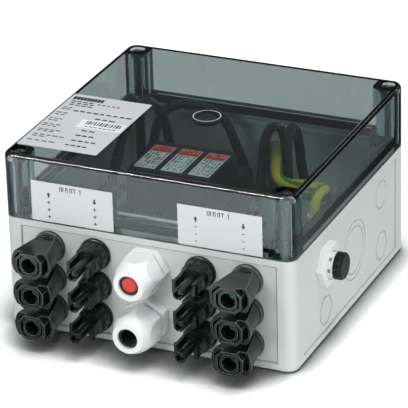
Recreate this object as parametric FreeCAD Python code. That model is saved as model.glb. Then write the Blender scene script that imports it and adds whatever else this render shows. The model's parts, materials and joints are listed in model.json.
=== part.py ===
import FreeCAD, Part
import math
import os
from FreeCAD import Vector, Placement, Rotation

# Solar combiner box, lying on its back. Millimetres, +Z up, origin at the centre of the rear face.
# The connectors and glands point to -Y, the pressure vent to +X, the lid faces +Z.

# how far cuts run past a face, and how far fused pieces reach into each other
over = 1.0
bite = 0.5

# fits
running_gap = 0.15
thread_gap = 0.1
screw_clearance = 0.4

# enclosure
case_width = 182.0
case_depth = 180.0
case_height = 111.0
base_height = 70.7
corner_radius = 7.0
base_foot_radius = 2.5
lid_edge_radius = 3.0
base_wall = 3.5
base_floor = 3.5
lid_wall = 3.0
lid_roof = 3.2
gate_radius = 8.0
gate_recess = 0.6
gate_boss = 2.4
gate_pip_radius = 1.2
column_side = 16.0
column_round = 5.0
field_depth = 1.0
field_inset_x = 10.4
field_inset_y = 13.7
field_bottom_z = 4.6
field_top_z = 66.6
field_line_width = 0.9
field_line_depth = 0.8

# seam between base and lid
tongue_thickness = 2.2
tongue_height = 3.2
shelf_height = 2.5
gasket_height = 4.8
groove_width = 2.8
groove_ridge = 1.6
ridge_lift = 1.0
seam_gap = 0.3

# lid screws
lid_screw_radius = 2.6
lid_screw_head_radius = 4.6
lid_screw_head_height = 4.0
lid_screw_sink = 2.0
lid_screw_thread = 12.0
lid_screw_chamfer = 0.6
lid_screw_slot_width = 1.2
lid_screw_slot_depth = 1.8
lid_screw_hole_extra = 2.0

# wall fixing
wall_hole_radius = 2.6
wall_hole_spacing_x = 132.0
wall_hole_spacing_y = 136.0
wall_collar_radius = 6.0
wall_collar_height = 2.0

# mounting rail
rail_width = 35.0
rail_height = 7.5
rail_channel = 27.0
rail_sheet = 1.0
rail_length = 140.0
rail_y = 5.0
rail_post_radius = 6.0
rail_post_height = 6.0
rail_screw_x = 60.0
rail_screw_radius = 2.4
rail_screw_head_radius = 4.4
rail_screw_head_height = 2.6
rail_screw_chamfer = 1.0
rail_screw_slot_width = 1.0
rail_screw_slot_depth = 1.2
rail_screw_foot = 1.5
rail_slot_length = 15.0
rail_slot_width = 6.2
rail_slot_pitch = 20.0

# surge protector
module_pitch = 17.7
module_count = 3
surge_x = -19.1
surge_depth = 90.0
surge_body_depth = 45.6
surge_shoulder_z = 57.0
surge_top_z = 75.0
surge_bay_z = 33.0
surge_side_z = 50.0
surge_skin = 1.0
surge_foot_z = 12.0
surge_rail_gap = 0.3
surge_hook = 3.0
surge_nose = 6.0
plug_gap = 0.3
plug_edge_radius = 2.0
blade_width = 8.0
blade_thickness = 1.6
blade_length = 7.0
blade_offset = 13.0
terminal_z = 27.0
terminal_bore_radius = 3.6
terminal_bore_depth = 15.0
terminal_screw_radius = 2.6
terminal_screw_inset = 11.0
terminal_screw_sink = 4.0
terminal_slot_width = 0.8
terminal_slot_depth = 1.2
marker_height = 4.0
marker_thickness = 2.2
marker_end_gap = 0.4
marker_gap = 0.1
marker_notch_width = 0.5
marker_notch_depth = 0.7
latch_width = 10.0
latch_height = 3.0
latch_rail = 0.8
latch_tail = 4.0
latch_sink = 0.3
latch_gap = 0.2
latch_eye_width = 5.0
latch_eye_depth = 1.6

# finger grips of a plug module
grip_count = 3
grip_start = 4.0
grip_pitch = 3.2
grip_height = 1.3
grip_depth = 0.7
grip_inset = 2.2

# plug module label
label_inset = 1.9
label_length = 33.0
label_thickness = 0.25
label_shift = 1.0
label_gap = 0.3

# string connectors
column_margin = 28.8
column_spacing = 29.1
row_z = [55.5, 35.5, 15.5]
flange_radius = 9.8
flange_thickness = 2.2
flange_step = 0.8
flange_chamfer = 0.5
connector_thread_radius = 7.0
connector_thread_length = 12.0
connector_hole_gap = 0.3
spigot_radius = 4.8
spigot_length = 6.0
spigot_step = 1.0
lock_nut_flats = 18.0
lock_nut_thickness = 4.0
washer_radius = 8.6
washer_thickness = 0.8
washer_gap = 0.2

# socket connector
socket_reach = 29.3
socket_step = 1.6
socket_hood_radius = 9.0
socket_hood_flare = 3.3
socket_hood_sink = 3.6
socket_window_length = 7.5
socket_window_wall = 1.4
socket_window_edge = 0.7
socket_width = 17.0
socket_height = 14.8
socket_chamfer = 3.8
socket_frame = 1.3
socket_well_depth = 4.0
socket_ring_width = 11.2
socket_ring_height = 11.4
socket_ring_radius = 4.0
socket_ring_sink = 0.4
socket_bore_radius = 4.6
socket_bore_depth = 16.0
socket_contact_radius = 2.4
socket_contact_bore = 1.5
socket_contact_length = 8.0

# plug connector
plug_reach = 32.0
collar_radius = 8.9
collar_length = 5.0
collar_step = 1.2
flute_count = 14
flute_radius = 0.7
flute_start = 1.5
dome_length = 3.4
dome_step = 0.5
dome_end_radius = 7.0
ring_radius = 4.7
ring_length = 1.6
snout_radius = 3.5
snout_slot = 1.0
snout_slot_depth = 5.0
snout_chamfer = 0.5
pin_bore_radius = 2.2
pin_bore_depth = 12.0
pin_radius = 1.5
pin_sink = 2.0
pin_chamfer = 0.8
arm_offset = 5.1
arm_thickness = 2.0
arm_height = 7.4
arm_reach = 24.0
arm_start = 3.0
grip_start = 14.5
grip_ribs = 4
grip_pitch = 1.7
grip_width = 0.8
grip_depth = 0.5
tooth_width = 1.0
tooth_length = 3.0
tooth_slope = 2.4

# cable glands
gland_flats = 24.0
gland_thread_radius = 10.0
gland_hex_length = 5.8
gland_neck_radius = 9.4
gland_neck_length = 14.0
gland_bore_radius = 7.2
gland_inner_length = 10.0
gland_hole_gap = 0.25
gland_nut_thickness = 5.0
cap_gap = 1.2
cap_length = 20.0
cap_hollow = 14.2
cap_face_radius = 9.2
cap_mouth_radius = 6.3
cap_dome_start = 4.0
cap_dome_middle = 13.1
cap_dome_sink = 1.6
insert_radius = 7.0
insert_bore_radius = 4.9
insert_length = 16.0
insert_nose_radius = 6.15
mouth_depth = 1.5
gland_upper_z = 52.6
gland_lower_z = 20.9
gland_lower_extra = 4.0
blank_radius = 4.75
blank_length = 17.0
blank_sink = 1.0
blank_chamfer = 0.8

# pressure vent in the right wall
vent_y = -41.0
vent_z = 48.5
vent_flats = 24.0
vent_turn = 30.0
vent_hex_length = 4.6
vent_thread_radius = 10.0
vent_thread_length = 8.0
vent_collar_radius = 9.0
vent_collar_length = 3.3
vent_cap_radius = 8.2
vent_cap_length = 5.2
vent_cap_chamfer = 1.0
vent_slots = 8
vent_slot_width = 2.4
vent_slot_depth = 2.2
vent_slot_margin = 0.7
vent_knurls = 16
vent_knurl_radius = 0.5
vent_stem_radius = 5.9
vent_stem_length = 6.0
vent_air_radius = 3.5

# knock-outs
knockout_groove = 1.2
knockout_depth = 1.0
knockout_big_y = 7.0
knockout_big_z = 35.0
knockout_big_radii = [18.8, 15.2]
knockout_small_radius = 9.3
knockout_dot_radius = 0.7
knockout_small_places = [[52.3, 51.7], [52.3, 17.4], [-39.5, 17.4]]

# plates
plate_thickness = 0.25
name_plate_width = 51.0
name_plate_depth = 78.0
name_plate_margin = 3.0
name_plate_y = -36.0
front_label_width = 52.0
front_label_height = 25.0
front_label_lift = 13.5
front_label_x = 46.3

# inner wiring
cable_diameter = 6.0
earth_diameter = 6.4
ferrule_radius = 2.4
ferrule_length = 10.0
sleeve_length = 8.0
sleeve_wide_radius = 4.2
sleeve_narrow_radius = 2.0
earth_post_margin = 12.7
earth_post_y = -32.0
earth_post_sink = 4.7
earth_post_radius = 3.0
earth_foot_radius = 7.0
earth_foot_height = 3.0
cable_entry = 2.0
cable_trim = 3.0
arc_share = 0.45

# derived places
column_outer_x = case_width / 2 - column_margin
column_inner_x = column_outer_x - column_spacing
earth_post_x = case_width / 2 - earth_post_margin
earth_post_top = base_height - earth_post_sink
name_plate_x = name_plate_margin + name_plate_width / 2 - case_width / 2
front_label_z = base_height + front_label_lift
front_y = -case_depth / 2 + field_depth
side_x = case_width / 2 - field_depth
wall_behind_field = base_wall - field_depth
seal_z = base_height + tongue_height
module_first_x = surge_x - module_pitch * (module_count - 1) / 2
surge_width = module_pitch * module_count
rail_foot_z = base_floor + rail_post_height
rail_top_z = rail_foot_z + rail_height
surge_front_y = rail_y - surge_depth / 2
surge_back_y = rail_y + surge_depth / 2
label_y = rail_y - label_shift
screw_x = case_width / 2 - column_side / 2
screw_y = case_depth / 2 - column_side / 2
lid_screw_floor = case_height - lid_screw_sink - lid_screw_head_height
lid_screw_foot = base_height - lid_screw_thread

FRONT = Rotation(Vector(1, 0, 0), 90)
SIDE = Rotation(Vector(0, 1, 0), 90)


def block(x0, x1, y0, y1, z0, z1):
    return Part.makeBox(x1 - x0, y1 - y0, z1 - z0, Vector(x0, y0, z0))


def rod(radius, length, start=0.0, x=0.0, y=0.0):
    """A cylinder along local Z from start."""
    return Part.makeCylinder(radius, length, Vector(x, y, start))


def tube(outer, inner, length, start=0.0):
    return rod(outer, length, start).cut(rod(inner, length + 2 * over, start - over))


def hexagon(flats, length, start=0.0, turn=0.0):
    corner = flats / math.sqrt(3)
    points = [Vector(corner * math.cos(math.radians(turn + 60 * k)),
                     corner * math.sin(math.radians(turn + 60 * k)), start) for k in range(7)]
    return Part.Face(Part.makePolygon(points)).extrude(Vector(0, 0, length))


def polygon_prism(points, depth):
    """points lie in one plane, depth is the extrusion vector."""
    return Part.Face(Part.makePolygon(points + [points[0]])).extrude(depth)


def rounded_block(width, depth, height, radius, start=0.0):
    body = block(-width / 2, width / 2, -depth / 2, depth / 2, start, start + height)
    return body.makeFillet(radius, edges_along_z(body))


def edges_along_z(shape):
    chosen = []
    for edge in shape.Edges:
        direction = edge.tangentAt(edge.FirstParameter)
        if abs(abs(direction.z) - 1) < 1e-6 and abs(edge.BoundBox.XLength) < 1e-6:
            chosen.append(edge)
    return chosen


def edges_at_height(shape, z):
    chosen = []
    for edge in shape.Edges:
        box = edge.BoundBox
        if abs(box.ZMin - z) < 1e-6 and abs(box.ZMax - z) < 1e-6:
            chosen.append(edge)
    return chosen


def join(first, others):
    return first.fuse(others).removeSplitter()


def place(shape, x, y, z, rotation=Rotation()):
    copy = shape.copy()
    copy.Placement = Placement(Vector(x, y, z), rotation)
    return copy


def on_front(shape, x, z):
    """Local Z points out of the front wall, from the floor of its field."""
    return place(shape, x, front_y, z, FRONT)


def on_side(shape, y, z):
    """Local Z points out of the right wall, from the floor of its field."""
    return place(shape, side_x, y, z, SIDE)


def inner_outline(inset, column, z0, z1):
    """The inside of the case, kept off the four corner columns, whose inner corners are round."""
    half_x = case_width / 2 - inset
    half_y = case_depth / 2 - inset
    cut_x = case_width / 2 - column
    cut_y = case_depth / 2 - column
    r = column_round + column - column_side
    bend = r * (1 - math.sqrt(0.5))
    edges = []
    last = None
    first = None
    for sx, sy, start_along_x in [(1, 1, True), (-1, 1, False), (-1, -1, True), (1, -1, False)]:
        steps = [Vector(sx * half_x, sy * cut_y, z0), Vector(sx * (cut_x + r), sy * cut_y, z0),
                 Vector(sx * (cut_x + bend), sy * (cut_y + bend), z0),
                 Vector(sx * cut_x, sy * (cut_y + r), z0), Vector(sx * cut_x, sy * half_y, z0)]
        if not start_along_x:
            steps.reverse()
        if last is None:
            first = steps[0]
        else:
            edges.append(Part.makeLine(last, steps[0]))
        edges.append(Part.makeLine(steps[0], steps[1]))
        edges.append(Part.Arc(steps[1], steps[2], steps[3]).toShape())
        edges.append(Part.makeLine(steps[3], steps[4]))
        last = steps[4]
    edges.append(Part.makeLine(last, first))
    return Part.Face(Part.Wire(edges)).extrude(Vector(0, 0, z1 - z0))


def seam_ring(inset, thickness, column, z0, z1):
    """A band that follows the inside of the case round its corner columns."""
    outer = inner_outline(inset, column, z0, z1)
    inner = inner_outline(inset + thickness, column + thickness, z0 - over, z1 + over)
    return outer.cut(inner)


def corner_points(half_x, half_y):
    return [(sx * half_x, sy * half_y) for sx in (-1, 1) for sy in (-1, 1)]


def knockout_ring(radius):
    return tube(radius, radius - knockout_groove, knockout_depth + over, -knockout_depth)


def field_line(half_width):
    """Groove along the edge of a sunken field: X runs along the wall, Y into it, Z up."""
    inner_half = half_width - field_line_width
    outline = block(-half_width, half_width, -over, field_line_depth, field_bottom_z, field_top_z)
    return outline.cut(block(-inner_half, inner_half, -2 * over, field_line_depth + over,
                             field_bottom_z + field_line_width, field_top_z - field_line_width))


def wall_hole(radius):
    return rod(radius, base_wall + 2 * over, -base_wall - over)


def wall_knockouts():
    """Grooves of one side wall, in the wall's own frame: local X is up, local Y runs along the wall."""
    cuts = []
    for radius in knockout_big_radii:
        cuts.append(knockout_ring(radius).translated(Vector(-knockout_big_z, knockout_big_y, 0)))
    for along, up in knockout_small_places:
        cuts.append(knockout_ring(knockout_small_radius).translated(Vector(-up, along, 0)))
        cuts.append(rod(knockout_dot_radius, knockout_depth + over, -knockout_depth, -up, along))
    return cuts


def base_housing():
    half_x = case_width / 2
    half_y = case_depth / 2
    body = rounded_block(case_width, case_depth, base_height, corner_radius)
    body = body.makeFillet(base_foot_radius, edges_at_height(body, 0))
    cuts = [inner_outline(base_wall, column_side, base_floor, base_height + over)]
    field_x = half_x - field_inset_x
    field_y = half_y - field_inset_y
    for side in (-1, 1):
        cuts.append(block(-field_x, field_x, side * half_y - field_depth, side * half_y + field_depth,
                          field_bottom_z, field_top_z))
        cuts.append(block(side * half_x - field_depth, side * half_x + field_depth, -field_y, field_y,
                          field_bottom_z, field_top_z))
    front_line = field_line(field_x).translated(Vector(0, front_y, 0))
    side_line = field_line(field_y).rotated(Vector(0, 0, 0), Vector(0, 0, 1), 90)
    side_line = side_line.translated(Vector(side_x, 0, 0))
    cuts += [front_line, front_line.mirror(Vector(0, 0, 0), Vector(0, 1, 0)),
             side_line, side_line.mirror(Vector(0, 0, 0), Vector(1, 0, 0))]
    for x in (-column_outer_x, -column_inner_x, column_inner_x, column_outer_x):
        for z in row_z:
            cuts.append(on_front(wall_hole(connector_thread_radius + connector_hole_gap), x, z))
    for z in (gland_upper_z, gland_lower_z):
        cuts.append(on_front(wall_hole(gland_thread_radius + gland_hole_gap), 0, z))
    cuts.append(on_side(wall_hole(vent_thread_radius + gland_hole_gap), vent_y, vent_z))
    for groove in wall_knockouts():
        shift = Placement(Vector(side_x, 0, 0), SIDE)
        right = groove.copy()
        right.Placement = shift.multiply(groove.Placement)
        cuts.append(right)
        cuts.append(right.mirror(Vector(0, 0, 0), Vector(1, 0, 0)))
    hole_floor = lid_screw_foot - lid_screw_hole_extra
    for x, y in corner_points(screw_x, screw_y):
        cuts.append(rod(lid_screw_radius + running_gap, base_height + over - hole_floor, hole_floor, x, y))
    body = body.cut(cuts)
    tongue_inset = lid_wall + seam_gap
    tongue = seam_ring(tongue_inset, tongue_thickness, column_side + seam_gap, base_height - bite, seal_z)
    shelf = seam_ring(base_wall - bite, tongue_inset + tongue_thickness - base_wall + bite,
                      column_side - bite, base_height - shelf_height, base_height)
    adds = [tongue, shelf]
    for x, y in corner_points(wall_hole_spacing_x / 2, wall_hole_spacing_y / 2):
        adds.append(rod(wall_collar_radius, wall_collar_height + bite, base_floor - bite, x, y))
    for x in (-rail_screw_x, rail_screw_x):
        adds.append(rod(rail_post_radius, rail_post_height + bite, base_floor - bite, x, rail_y))
    body = join(body, adds)
    cuts = []
    for x, y in corner_points(wall_hole_spacing_x / 2, wall_hole_spacing_y / 2):
        cuts.append(rod(wall_hole_radius, base_floor + wall_collar_height + 2 * over, -over, x, y))
    hole_floor = base_floor + rail_screw_foot - bite
    for x in (-rail_screw_x, rail_screw_x):
        cuts.append(rod(rail_screw_radius + thread_gap, rail_foot_z + over - hole_floor, hole_floor,
                        x, rail_y))
    return body.cut(cuts)


def lid():
    body = rounded_block(case_width, case_depth, case_height - base_height, corner_radius, base_height)
    body = body.makeFillet(lid_edge_radius, edges_at_height(body, case_height))
    roof_z = case_height - lid_roof
    hollow = inner_outline(lid_wall, column_side, base_height - over, roof_z)
    ridge_inset = lid_wall + groove_width
    ledge_z = seal_z + gasket_height
    ridge = seam_ring(ridge_inset, groove_ridge, column_side + groove_width, base_height + ridge_lift,
                      ledge_z)
    ledge = seam_ring(lid_wall - bite, groove_width + groove_ridge + bite, column_side - bite, ledge_z,
                      ledge_z + groove_ridge)
    boss = rod(gate_radius, gate_boss + bite, roof_z - gate_boss)
    body = join(body.cut(hollow), [ridge, ledge, boss])
    cuts = [tube(gate_radius, gate_pip_radius, gate_recess + over, case_height - gate_recess)]
    for x, y in corner_points(screw_x, screw_y):
        cuts.append(rod(lid_screw_radius + screw_clearance, case_height, 0, x, y))
        cuts.append(rod(lid_screw_head_radius + screw_clearance, case_height, lid_screw_floor, x, y))
    return body.cut(cuts)


def lid_gasket():
    return seam_ring(lid_wall, groove_width, column_side, seal_z, seal_z + gasket_height)


def lid_screw(x, y):
    top = lid_screw_floor + lid_screw_head_height
    shank = rod(lid_screw_radius, lid_screw_floor + bite - lid_screw_foot, lid_screw_foot)
    head = rod(lid_screw_head_radius, lid_screw_head_height, lid_screw_floor)
    head = head.makeChamfer(lid_screw_chamfer, edges_at_height(head, top))
    body = join(head, [shank])
    half = lid_screw_slot_width / 2
    slot = block(-lid_screw_head_radius, lid_screw_head_radius, -half, half, top - lid_screw_slot_depth,
                 top + over)
    cross = slot.rotated(Vector(0, 0, 0), Vector(0, 0, 1), 90)
    return body.cut([slot, cross]).translated(Vector(x, y, 0))


def din_rail():
    half = rail_width / 2
    channel = rail_channel / 2
    z0 = rail_foot_z
    z1 = rail_top_z
    t = rail_sheet
    outline = [(-half, z1 - t), (-half, z1), (-channel + t, z1), (-channel + t, z0 + t),
               (channel - t, z0 + t), (channel - t, z1), (half, z1), (half, z1 - t),
               (channel, z1 - t), (channel, z0), (-channel, z0), (-channel, z1 - t)]
    points = [Vector(-rail_length / 2, rail_y + y, z) for y, z in outline]
    body = polygon_prism(points, Vector(rail_length, 0, 0))
    cuts = []
    slot_run = rail_slot_length - rail_slot_width
    slots = int(rail_screw_x * 2 / rail_slot_pitch)
    for k in range(slots + 1):
        x = -rail_screw_x + k * rail_slot_pitch
        half_run = slot_run / 2
        slot = block(x - half_run, x + half_run, rail_y - rail_slot_width / 2, rail_y + rail_slot_width / 2,
                     z0 - over, z0 + t + over)
        ends = [rod(rail_slot_width / 2, t + 2 * over, z0 - over, x + s * half_run, rail_y) for s in (-1, 1)]
        cuts.append(slot.fuse(ends))
    return body.cut(cuts)


def rail_screws():
    screws = []
    for x in (-rail_screw_x, rail_screw_x):
        head_z = rail_foot_z + rail_sheet
        top = head_z + rail_screw_head_height
        foot = base_floor + rail_screw_foot
        head = rod(rail_screw_head_radius, rail_screw_head_height, head_z, x, rail_y)
        head = head.makeChamfer(rail_screw_chamfer, edges_at_height(head, top))
        shank = rod(rail_screw_radius, head_z + bite - foot, foot, x, rail_y)
        half = rail_screw_slot_width / 2
        slot = block(x - rail_screw_head_radius, x + rail_screw_head_radius, rail_y - half, rail_y + half,
                     top - rail_screw_slot_depth, top + over)
        screws.append(join(head, [shank]).cut(slot))
    return Part.makeCompound(screws)


def module_x(k):
    return module_first_x + k * module_pitch


def surge_terminals():
    """Wire entries and screw shafts: x of the module, and the side, -1 front or 1 back."""
    return [(module_x(k), side) for k in range(module_count) for side in (-1, 1)]


def latch_profile(gap):
    half = latch_width / 2 + gap
    low = surge_foot_z + latch_sink - gap
    high = low + latch_height + 2 * gap
    mid = (low + high) / 2
    rail = latch_rail / 2 + gap
    return [(-half, low), (half, low), (half, mid - rail), (half + latch_rail, mid - rail),
            (half + latch_rail, mid + rail), (half, mid + rail), (half, high), (-half, high),
            (-half, mid + rail), (-half - latch_rail, mid + rail), (-half - latch_rail, mid - rail),
            (-half, mid - rail)]


def surge_base():
    half = surge_depth / 2
    bay = surge_body_depth / 2 + plug_gap
    slot = rail_width / 2 + surge_rail_gap
    seat = rail_top_z + surge_rail_gap
    lip = rail_top_z - rail_sheet - surge_rail_gap
    outline = [(-half, surge_foot_z), (-slot, surge_foot_z), (-slot, seat), (slot, seat), (slot, lip),
               (slot - surge_hook, lip), (slot - surge_hook, surge_foot_z), (half, surge_foot_z),
               (half, surge_shoulder_z - surge_nose), (half - surge_nose / 2, surge_shoulder_z),
               (bay, surge_shoulder_z),
               (bay, surge_bay_z), (-bay, surge_bay_z), (-bay, surge_shoulder_z),
               (-half, surge_shoulder_z)]
    x0 = surge_x - surge_width / 2
    points = [Vector(x0, rail_y + y, z) for y, z in outline]
    body = polygon_prism(points, Vector(surge_width, 0, 0))
    walls = []
    for k in range(module_count + 1):
        x = x0 + k * module_pitch
        low_x = max(x - surge_skin, x0)
        high_x = min(x + surge_skin, x0 + surge_width)
        walls.append(block(low_x, high_x, rail_y - bay - bite, rail_y + bay + bite, surge_bay_z - bite,
                           surge_side_z))
    body = join(body, walls)
    cuts = []
    for x, side in surge_terminals():
        entry = rod(terminal_bore_radius, terminal_bore_depth + over)
        face_y = rail_y + side * half
        turn = Rotation(Vector(1, 0, 0), 90 * side)
        cuts.append(place(entry, x, face_y + side * over, terminal_z, turn))
        shaft_y = face_y - side * terminal_screw_inset
        cuts.append(rod(terminal_screw_radius + screw_clearance, surge_shoulder_z - terminal_z + over,
                        terminal_z, x, shaft_y))
    for k in range(module_count):
        for side in (-1, 1):
            y = rail_y + side * blade_offset
            half_x = blade_width / 2 + plug_gap
            half_y = blade_thickness / 2 + plug_gap
            cuts.append(block(module_x(k) - half_x, module_x(k) + half_x, y - half_y, y + half_y,
                              surge_bay_z - blade_length - plug_gap, surge_bay_z + over))
    channel = [Vector(surge_x + x, surge_front_y - over, z) for x, z in latch_profile(latch_gap)]
    cuts.append(polygon_prism(channel, Vector(0, half - slot + over + bite, 0)))
    cuts.append(block(x0 - over, x0 + surge_width + over, surge_front_y - over,
                      surge_front_y + marker_thickness, surge_shoulder_z - marker_height / 2,
                      surge_shoulder_z + over))
    return body.cut(cuts)


def surge_latch():
    profile = [Vector(surge_x + x, surge_front_y - latch_tail, z) for x, z in latch_profile(0)]
    reach = surge_depth / 2 - rail_width / 2 - surge_rail_gap + latch_tail + surge_hook
    body = polygon_prism(profile, Vector(0, reach, 0))
    eye_y = surge_front_y - latch_tail / 2
    half_x = latch_eye_width / 2
    half_y = latch_eye_depth / 2
    eye = block(surge_x - half_x, surge_x + half_x, eye_y - half_y, eye_y + half_y, surge_foot_z - over,
                surge_foot_z + latch_height + 2 * over)
    return body.cut(eye)


def surge_plug(x):
    half_x = module_pitch / 2 - surge_skin - plug_gap
    half_y = surge_body_depth / 2
    low = surge_bay_z + plug_gap
    lower = block(x - half_x, x + half_x, rail_y - half_y, rail_y + half_y, low, surge_side_z + plug_gap)
    wide = module_pitch / 2 - plug_gap / 2
    upper = block(x - wide, x + wide, rail_y - half_y, rail_y + half_y, surge_side_z + plug_gap, surge_top_z)
    rounded = []
    for edge in edges_at_height(upper, surge_top_z):
        if edge.BoundBox.XLength > module_pitch / 2:
            rounded.append(edge)
    upper = upper.makeFillet(plug_edge_radius, rounded)
    blades = []
    for side in (-1, 1):
        y = rail_y + side * blade_offset
        blades.append(block(x - blade_width / 2, x + blade_width / 2, y - blade_thickness / 2,
                            y + blade_thickness / 2, low - blade_length + plug_gap, low + bite))
    body = join(upper, [lower] + blades)
    pocket_x = wide - label_inset + label_gap
    pocket_y = label_length / 2 + label_gap
    cuts = [block(x - pocket_x, x + pocket_x, label_y - pocket_y, label_y + pocket_y,
                  surge_top_z - label_thickness, surge_top_z + over)]
    for side in (-1, 1):
        for k in range(grip_count):
            z = surge_shoulder_z + grip_start + k * grip_pitch
            y = rail_y + side * half_y
            cuts.append(block(x - wide + grip_inset, x + wide - grip_inset, y - grip_depth, y + grip_depth,
                              z, z + grip_height))
    return body.cut(cuts)


def surge_label(x):
    wide = module_pitch / 2 - plug_gap / 2 - label_inset
    return block(x - wide, x + wide, label_y - label_length / 2, label_y + label_length / 2,
                 surge_top_z - label_thickness, surge_top_z)


def terminal_screws():
    screws = []
    for x, side in surge_terminals():
        y = rail_y + side * (surge_depth / 2 - terminal_screw_inset)
        top = surge_shoulder_z - terminal_screw_sink
        foot = terminal_z + ferrule_radius
        screw = rod(terminal_screw_radius, top - foot, foot, x, y)
        half = terminal_slot_width / 2
        slot = block(x - terminal_screw_radius, x + terminal_screw_radius, y - half, y + half,
                     top - terminal_slot_depth, top + over)
        screws.append(screw.cut(slot))
    return Part.makeCompound(screws)


def marker_strip():
    half_x = surge_width / 2 - marker_end_gap
    front = surge_front_y + marker_gap
    body = block(surge_x - half_x, surge_x + half_x, front, surge_front_y + marker_thickness - marker_gap,
                 surge_shoulder_z - marker_height / 2, surge_shoulder_z + marker_height / 2)
    cuts = []
    for k in range(1, module_count * 2):
        x = surge_x - surge_width / 2 + k * module_pitch / 2
        cuts.append(block(x - marker_notch_width / 2, x + marker_notch_width / 2, front - over,
                          front + marker_notch_depth, surge_shoulder_z - marker_height,
                          surge_shoulder_z + marker_height))
    return body.cut(cuts)


def octagon(width, height, chamfer, start, length):
    x = width / 2
    y = height / 2
    c = chamfer
    outline = [(x, -y + c), (x, y - c), (x - c, y), (-x + c, y), (-x, y - c), (-x, -y + c), (-x + c, -y),
               (x - c, -y)]
    return polygon_prism([Vector(px, py, start) for px, py in outline], Vector(0, 0, length))


def connector_rear():
    """Flange, threaded tube through the wall and the spigot that takes the inner wire."""
    flange = rod(flange_radius, flange_thickness)
    flange = flange.makeChamfer(flange_chamfer, edges_at_height(flange, flange_thickness))
    recess = tube(washer_radius + washer_gap, connector_thread_radius, washer_thickness + over, -over)
    thread = rod(connector_thread_radius, connector_thread_length + over, -connector_thread_length)
    spigot = Part.makeCone(spigot_radius, connector_thread_radius - spigot_step, spigot_length,
                           Vector(0, 0, -connector_thread_length - spigot_length))
    return join(flange.cut(recess), [thread, spigot])


def socket_connector():
    """A hood that flares from the flange, flat above and below, round an octagonal snout."""
    face = socket_reach
    step = rod(flange_radius - flange_step, socket_step, flange_thickness)
    hood_start = flange_thickness + socket_step
    hood_end = face - socket_hood_sink
    wide = socket_hood_radius + socket_hood_flare
    half_height = socket_height / 2
    hood = Part.makeCone(socket_hood_radius, wide, hood_end - hood_start, Vector(0, 0, hood_start))
    hood = hood.common(block(-wide, wide, -half_height, half_height, hood_start, hood_end))
    window = octagon(2 * (wide - socket_window_wall), socket_height - 2 * socket_window_edge, socket_chamfer,
                     hood_end - socket_window_length, socket_window_length + over)
    snout = octagon(socket_width, socket_height, socket_chamfer, hood_start, face - hood_start)
    body = join(connector_rear(), [step, hood.cut(window), snout])
    well = octagon(socket_width - 2 * socket_frame, socket_height - 2 * socket_frame,
                   socket_chamfer - socket_frame * (2 - math.sqrt(2)), face - socket_well_depth,
                   socket_well_depth + over)
    ring = rounded_block(socket_ring_width, socket_ring_height, socket_well_depth, socket_ring_radius,
                         face - socket_well_depth - socket_ring_sink)
    bore = rod(socket_bore_radius, socket_bore_depth + over, face - socket_bore_depth)
    return body.cut(well.cut(ring)).cut(bore)


def socket_contact():
    start = socket_reach - socket_bore_depth
    return tube(socket_contact_radius, socket_contact_bore, socket_contact_length, start)


def plug_connector():
    step = rod(flange_radius - flange_step, collar_step, flange_thickness)
    collar_start = flange_thickness + collar_step
    collar = rod(collar_radius, collar_length, collar_start)
    flutes = []
    for k in range(flute_count):
        angle = 2 * math.pi * (k + 0.5) / flute_count
        flutes.append(rod(flute_radius, collar_length, collar_start + flute_start,
                          collar_radius * math.cos(angle), collar_radius * math.sin(angle)))
    collar = collar.cut(flutes)
    dome_start = collar_start + collar_length
    dome = Part.makeCone(collar_radius - dome_step, dome_end_radius, dome_length, Vector(0, 0, dome_start))
    ring_start = dome_start + dome_length
    ring = rod(ring_radius, ring_length, ring_start)
    snout_start = ring_start + ring_length
    snout = rod(snout_radius, plug_reach - snout_start, snout_start)
    snout = snout.makeChamfer(snout_chamfer, edges_at_height(snout, plug_reach))
    arms = []
    for side in (-1, 1):
        x = side * (arm_offset + arm_thickness / 2)
        low_y = -arm_height / 2
        arms.append(block(x - arm_thickness / 2, x + arm_thickness / 2, low_y, -low_y,
                          collar_start + arm_start, arm_reach))
        tooth = side * (arm_offset + arm_thickness)
        tip = Vector(tooth + side * tooth_width, low_y, arm_reach - tooth_slope)
        points = [Vector(tooth, low_y, arm_reach), tip, Vector(tooth, low_y, arm_reach - tooth_length)]
        arms.append(polygon_prism(points, Vector(0, arm_height, 0)))
    body = join(connector_rear(), [step, collar, dome, ring, snout] + arms)
    grips = []
    for side in (-1, 1):
        outside = side * (arm_offset + arm_thickness)
        for k in range(grip_ribs):
            low_z = grip_start + k * grip_pitch
            grips.append(block(min(outside - side * grip_depth, outside + side * over),
                               max(outside - side * grip_depth, outside + side * over),
                               -arm_height, arm_height, low_z, low_z + grip_width))
    body = body.cut(grips)
    face = plug_reach
    slots = [block(-snout_radius - over, snout_radius + over, -snout_slot / 2, snout_slot / 2,
                   face - snout_slot_depth, face + over)]
    slots.append(slots[0].rotated(Vector(0, 0, 0), Vector(0, 0, 1), 90))
    bore = rod(pin_bore_radius, pin_bore_depth + over, face - pin_bore_depth)
    return body.cut(slots + [bore])


def plug_contact():
    start = plug_reach - pin_bore_depth
    pin = rod(pin_radius, pin_bore_depth - pin_sink, start)
    return pin.makeChamfer(pin_chamfer, edges_at_height(pin, plug_reach - pin_sink))


def connector_places(x_list):
    return [(x, z) for x in x_list for z in row_z]


def connector_washer():
    return tube(washer_radius, connector_thread_radius + thread_gap, washer_thickness)


def lock_nut(flats, thickness, thread_radius):
    """A nut against the inside of the wall, in the wall's own frame."""
    start = -wall_behind_field - thickness
    nut = hexagon(flats, thickness, start)
    return nut.cut(rod(thread_radius + thread_gap, thickness + 2 * over, start - over))


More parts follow.
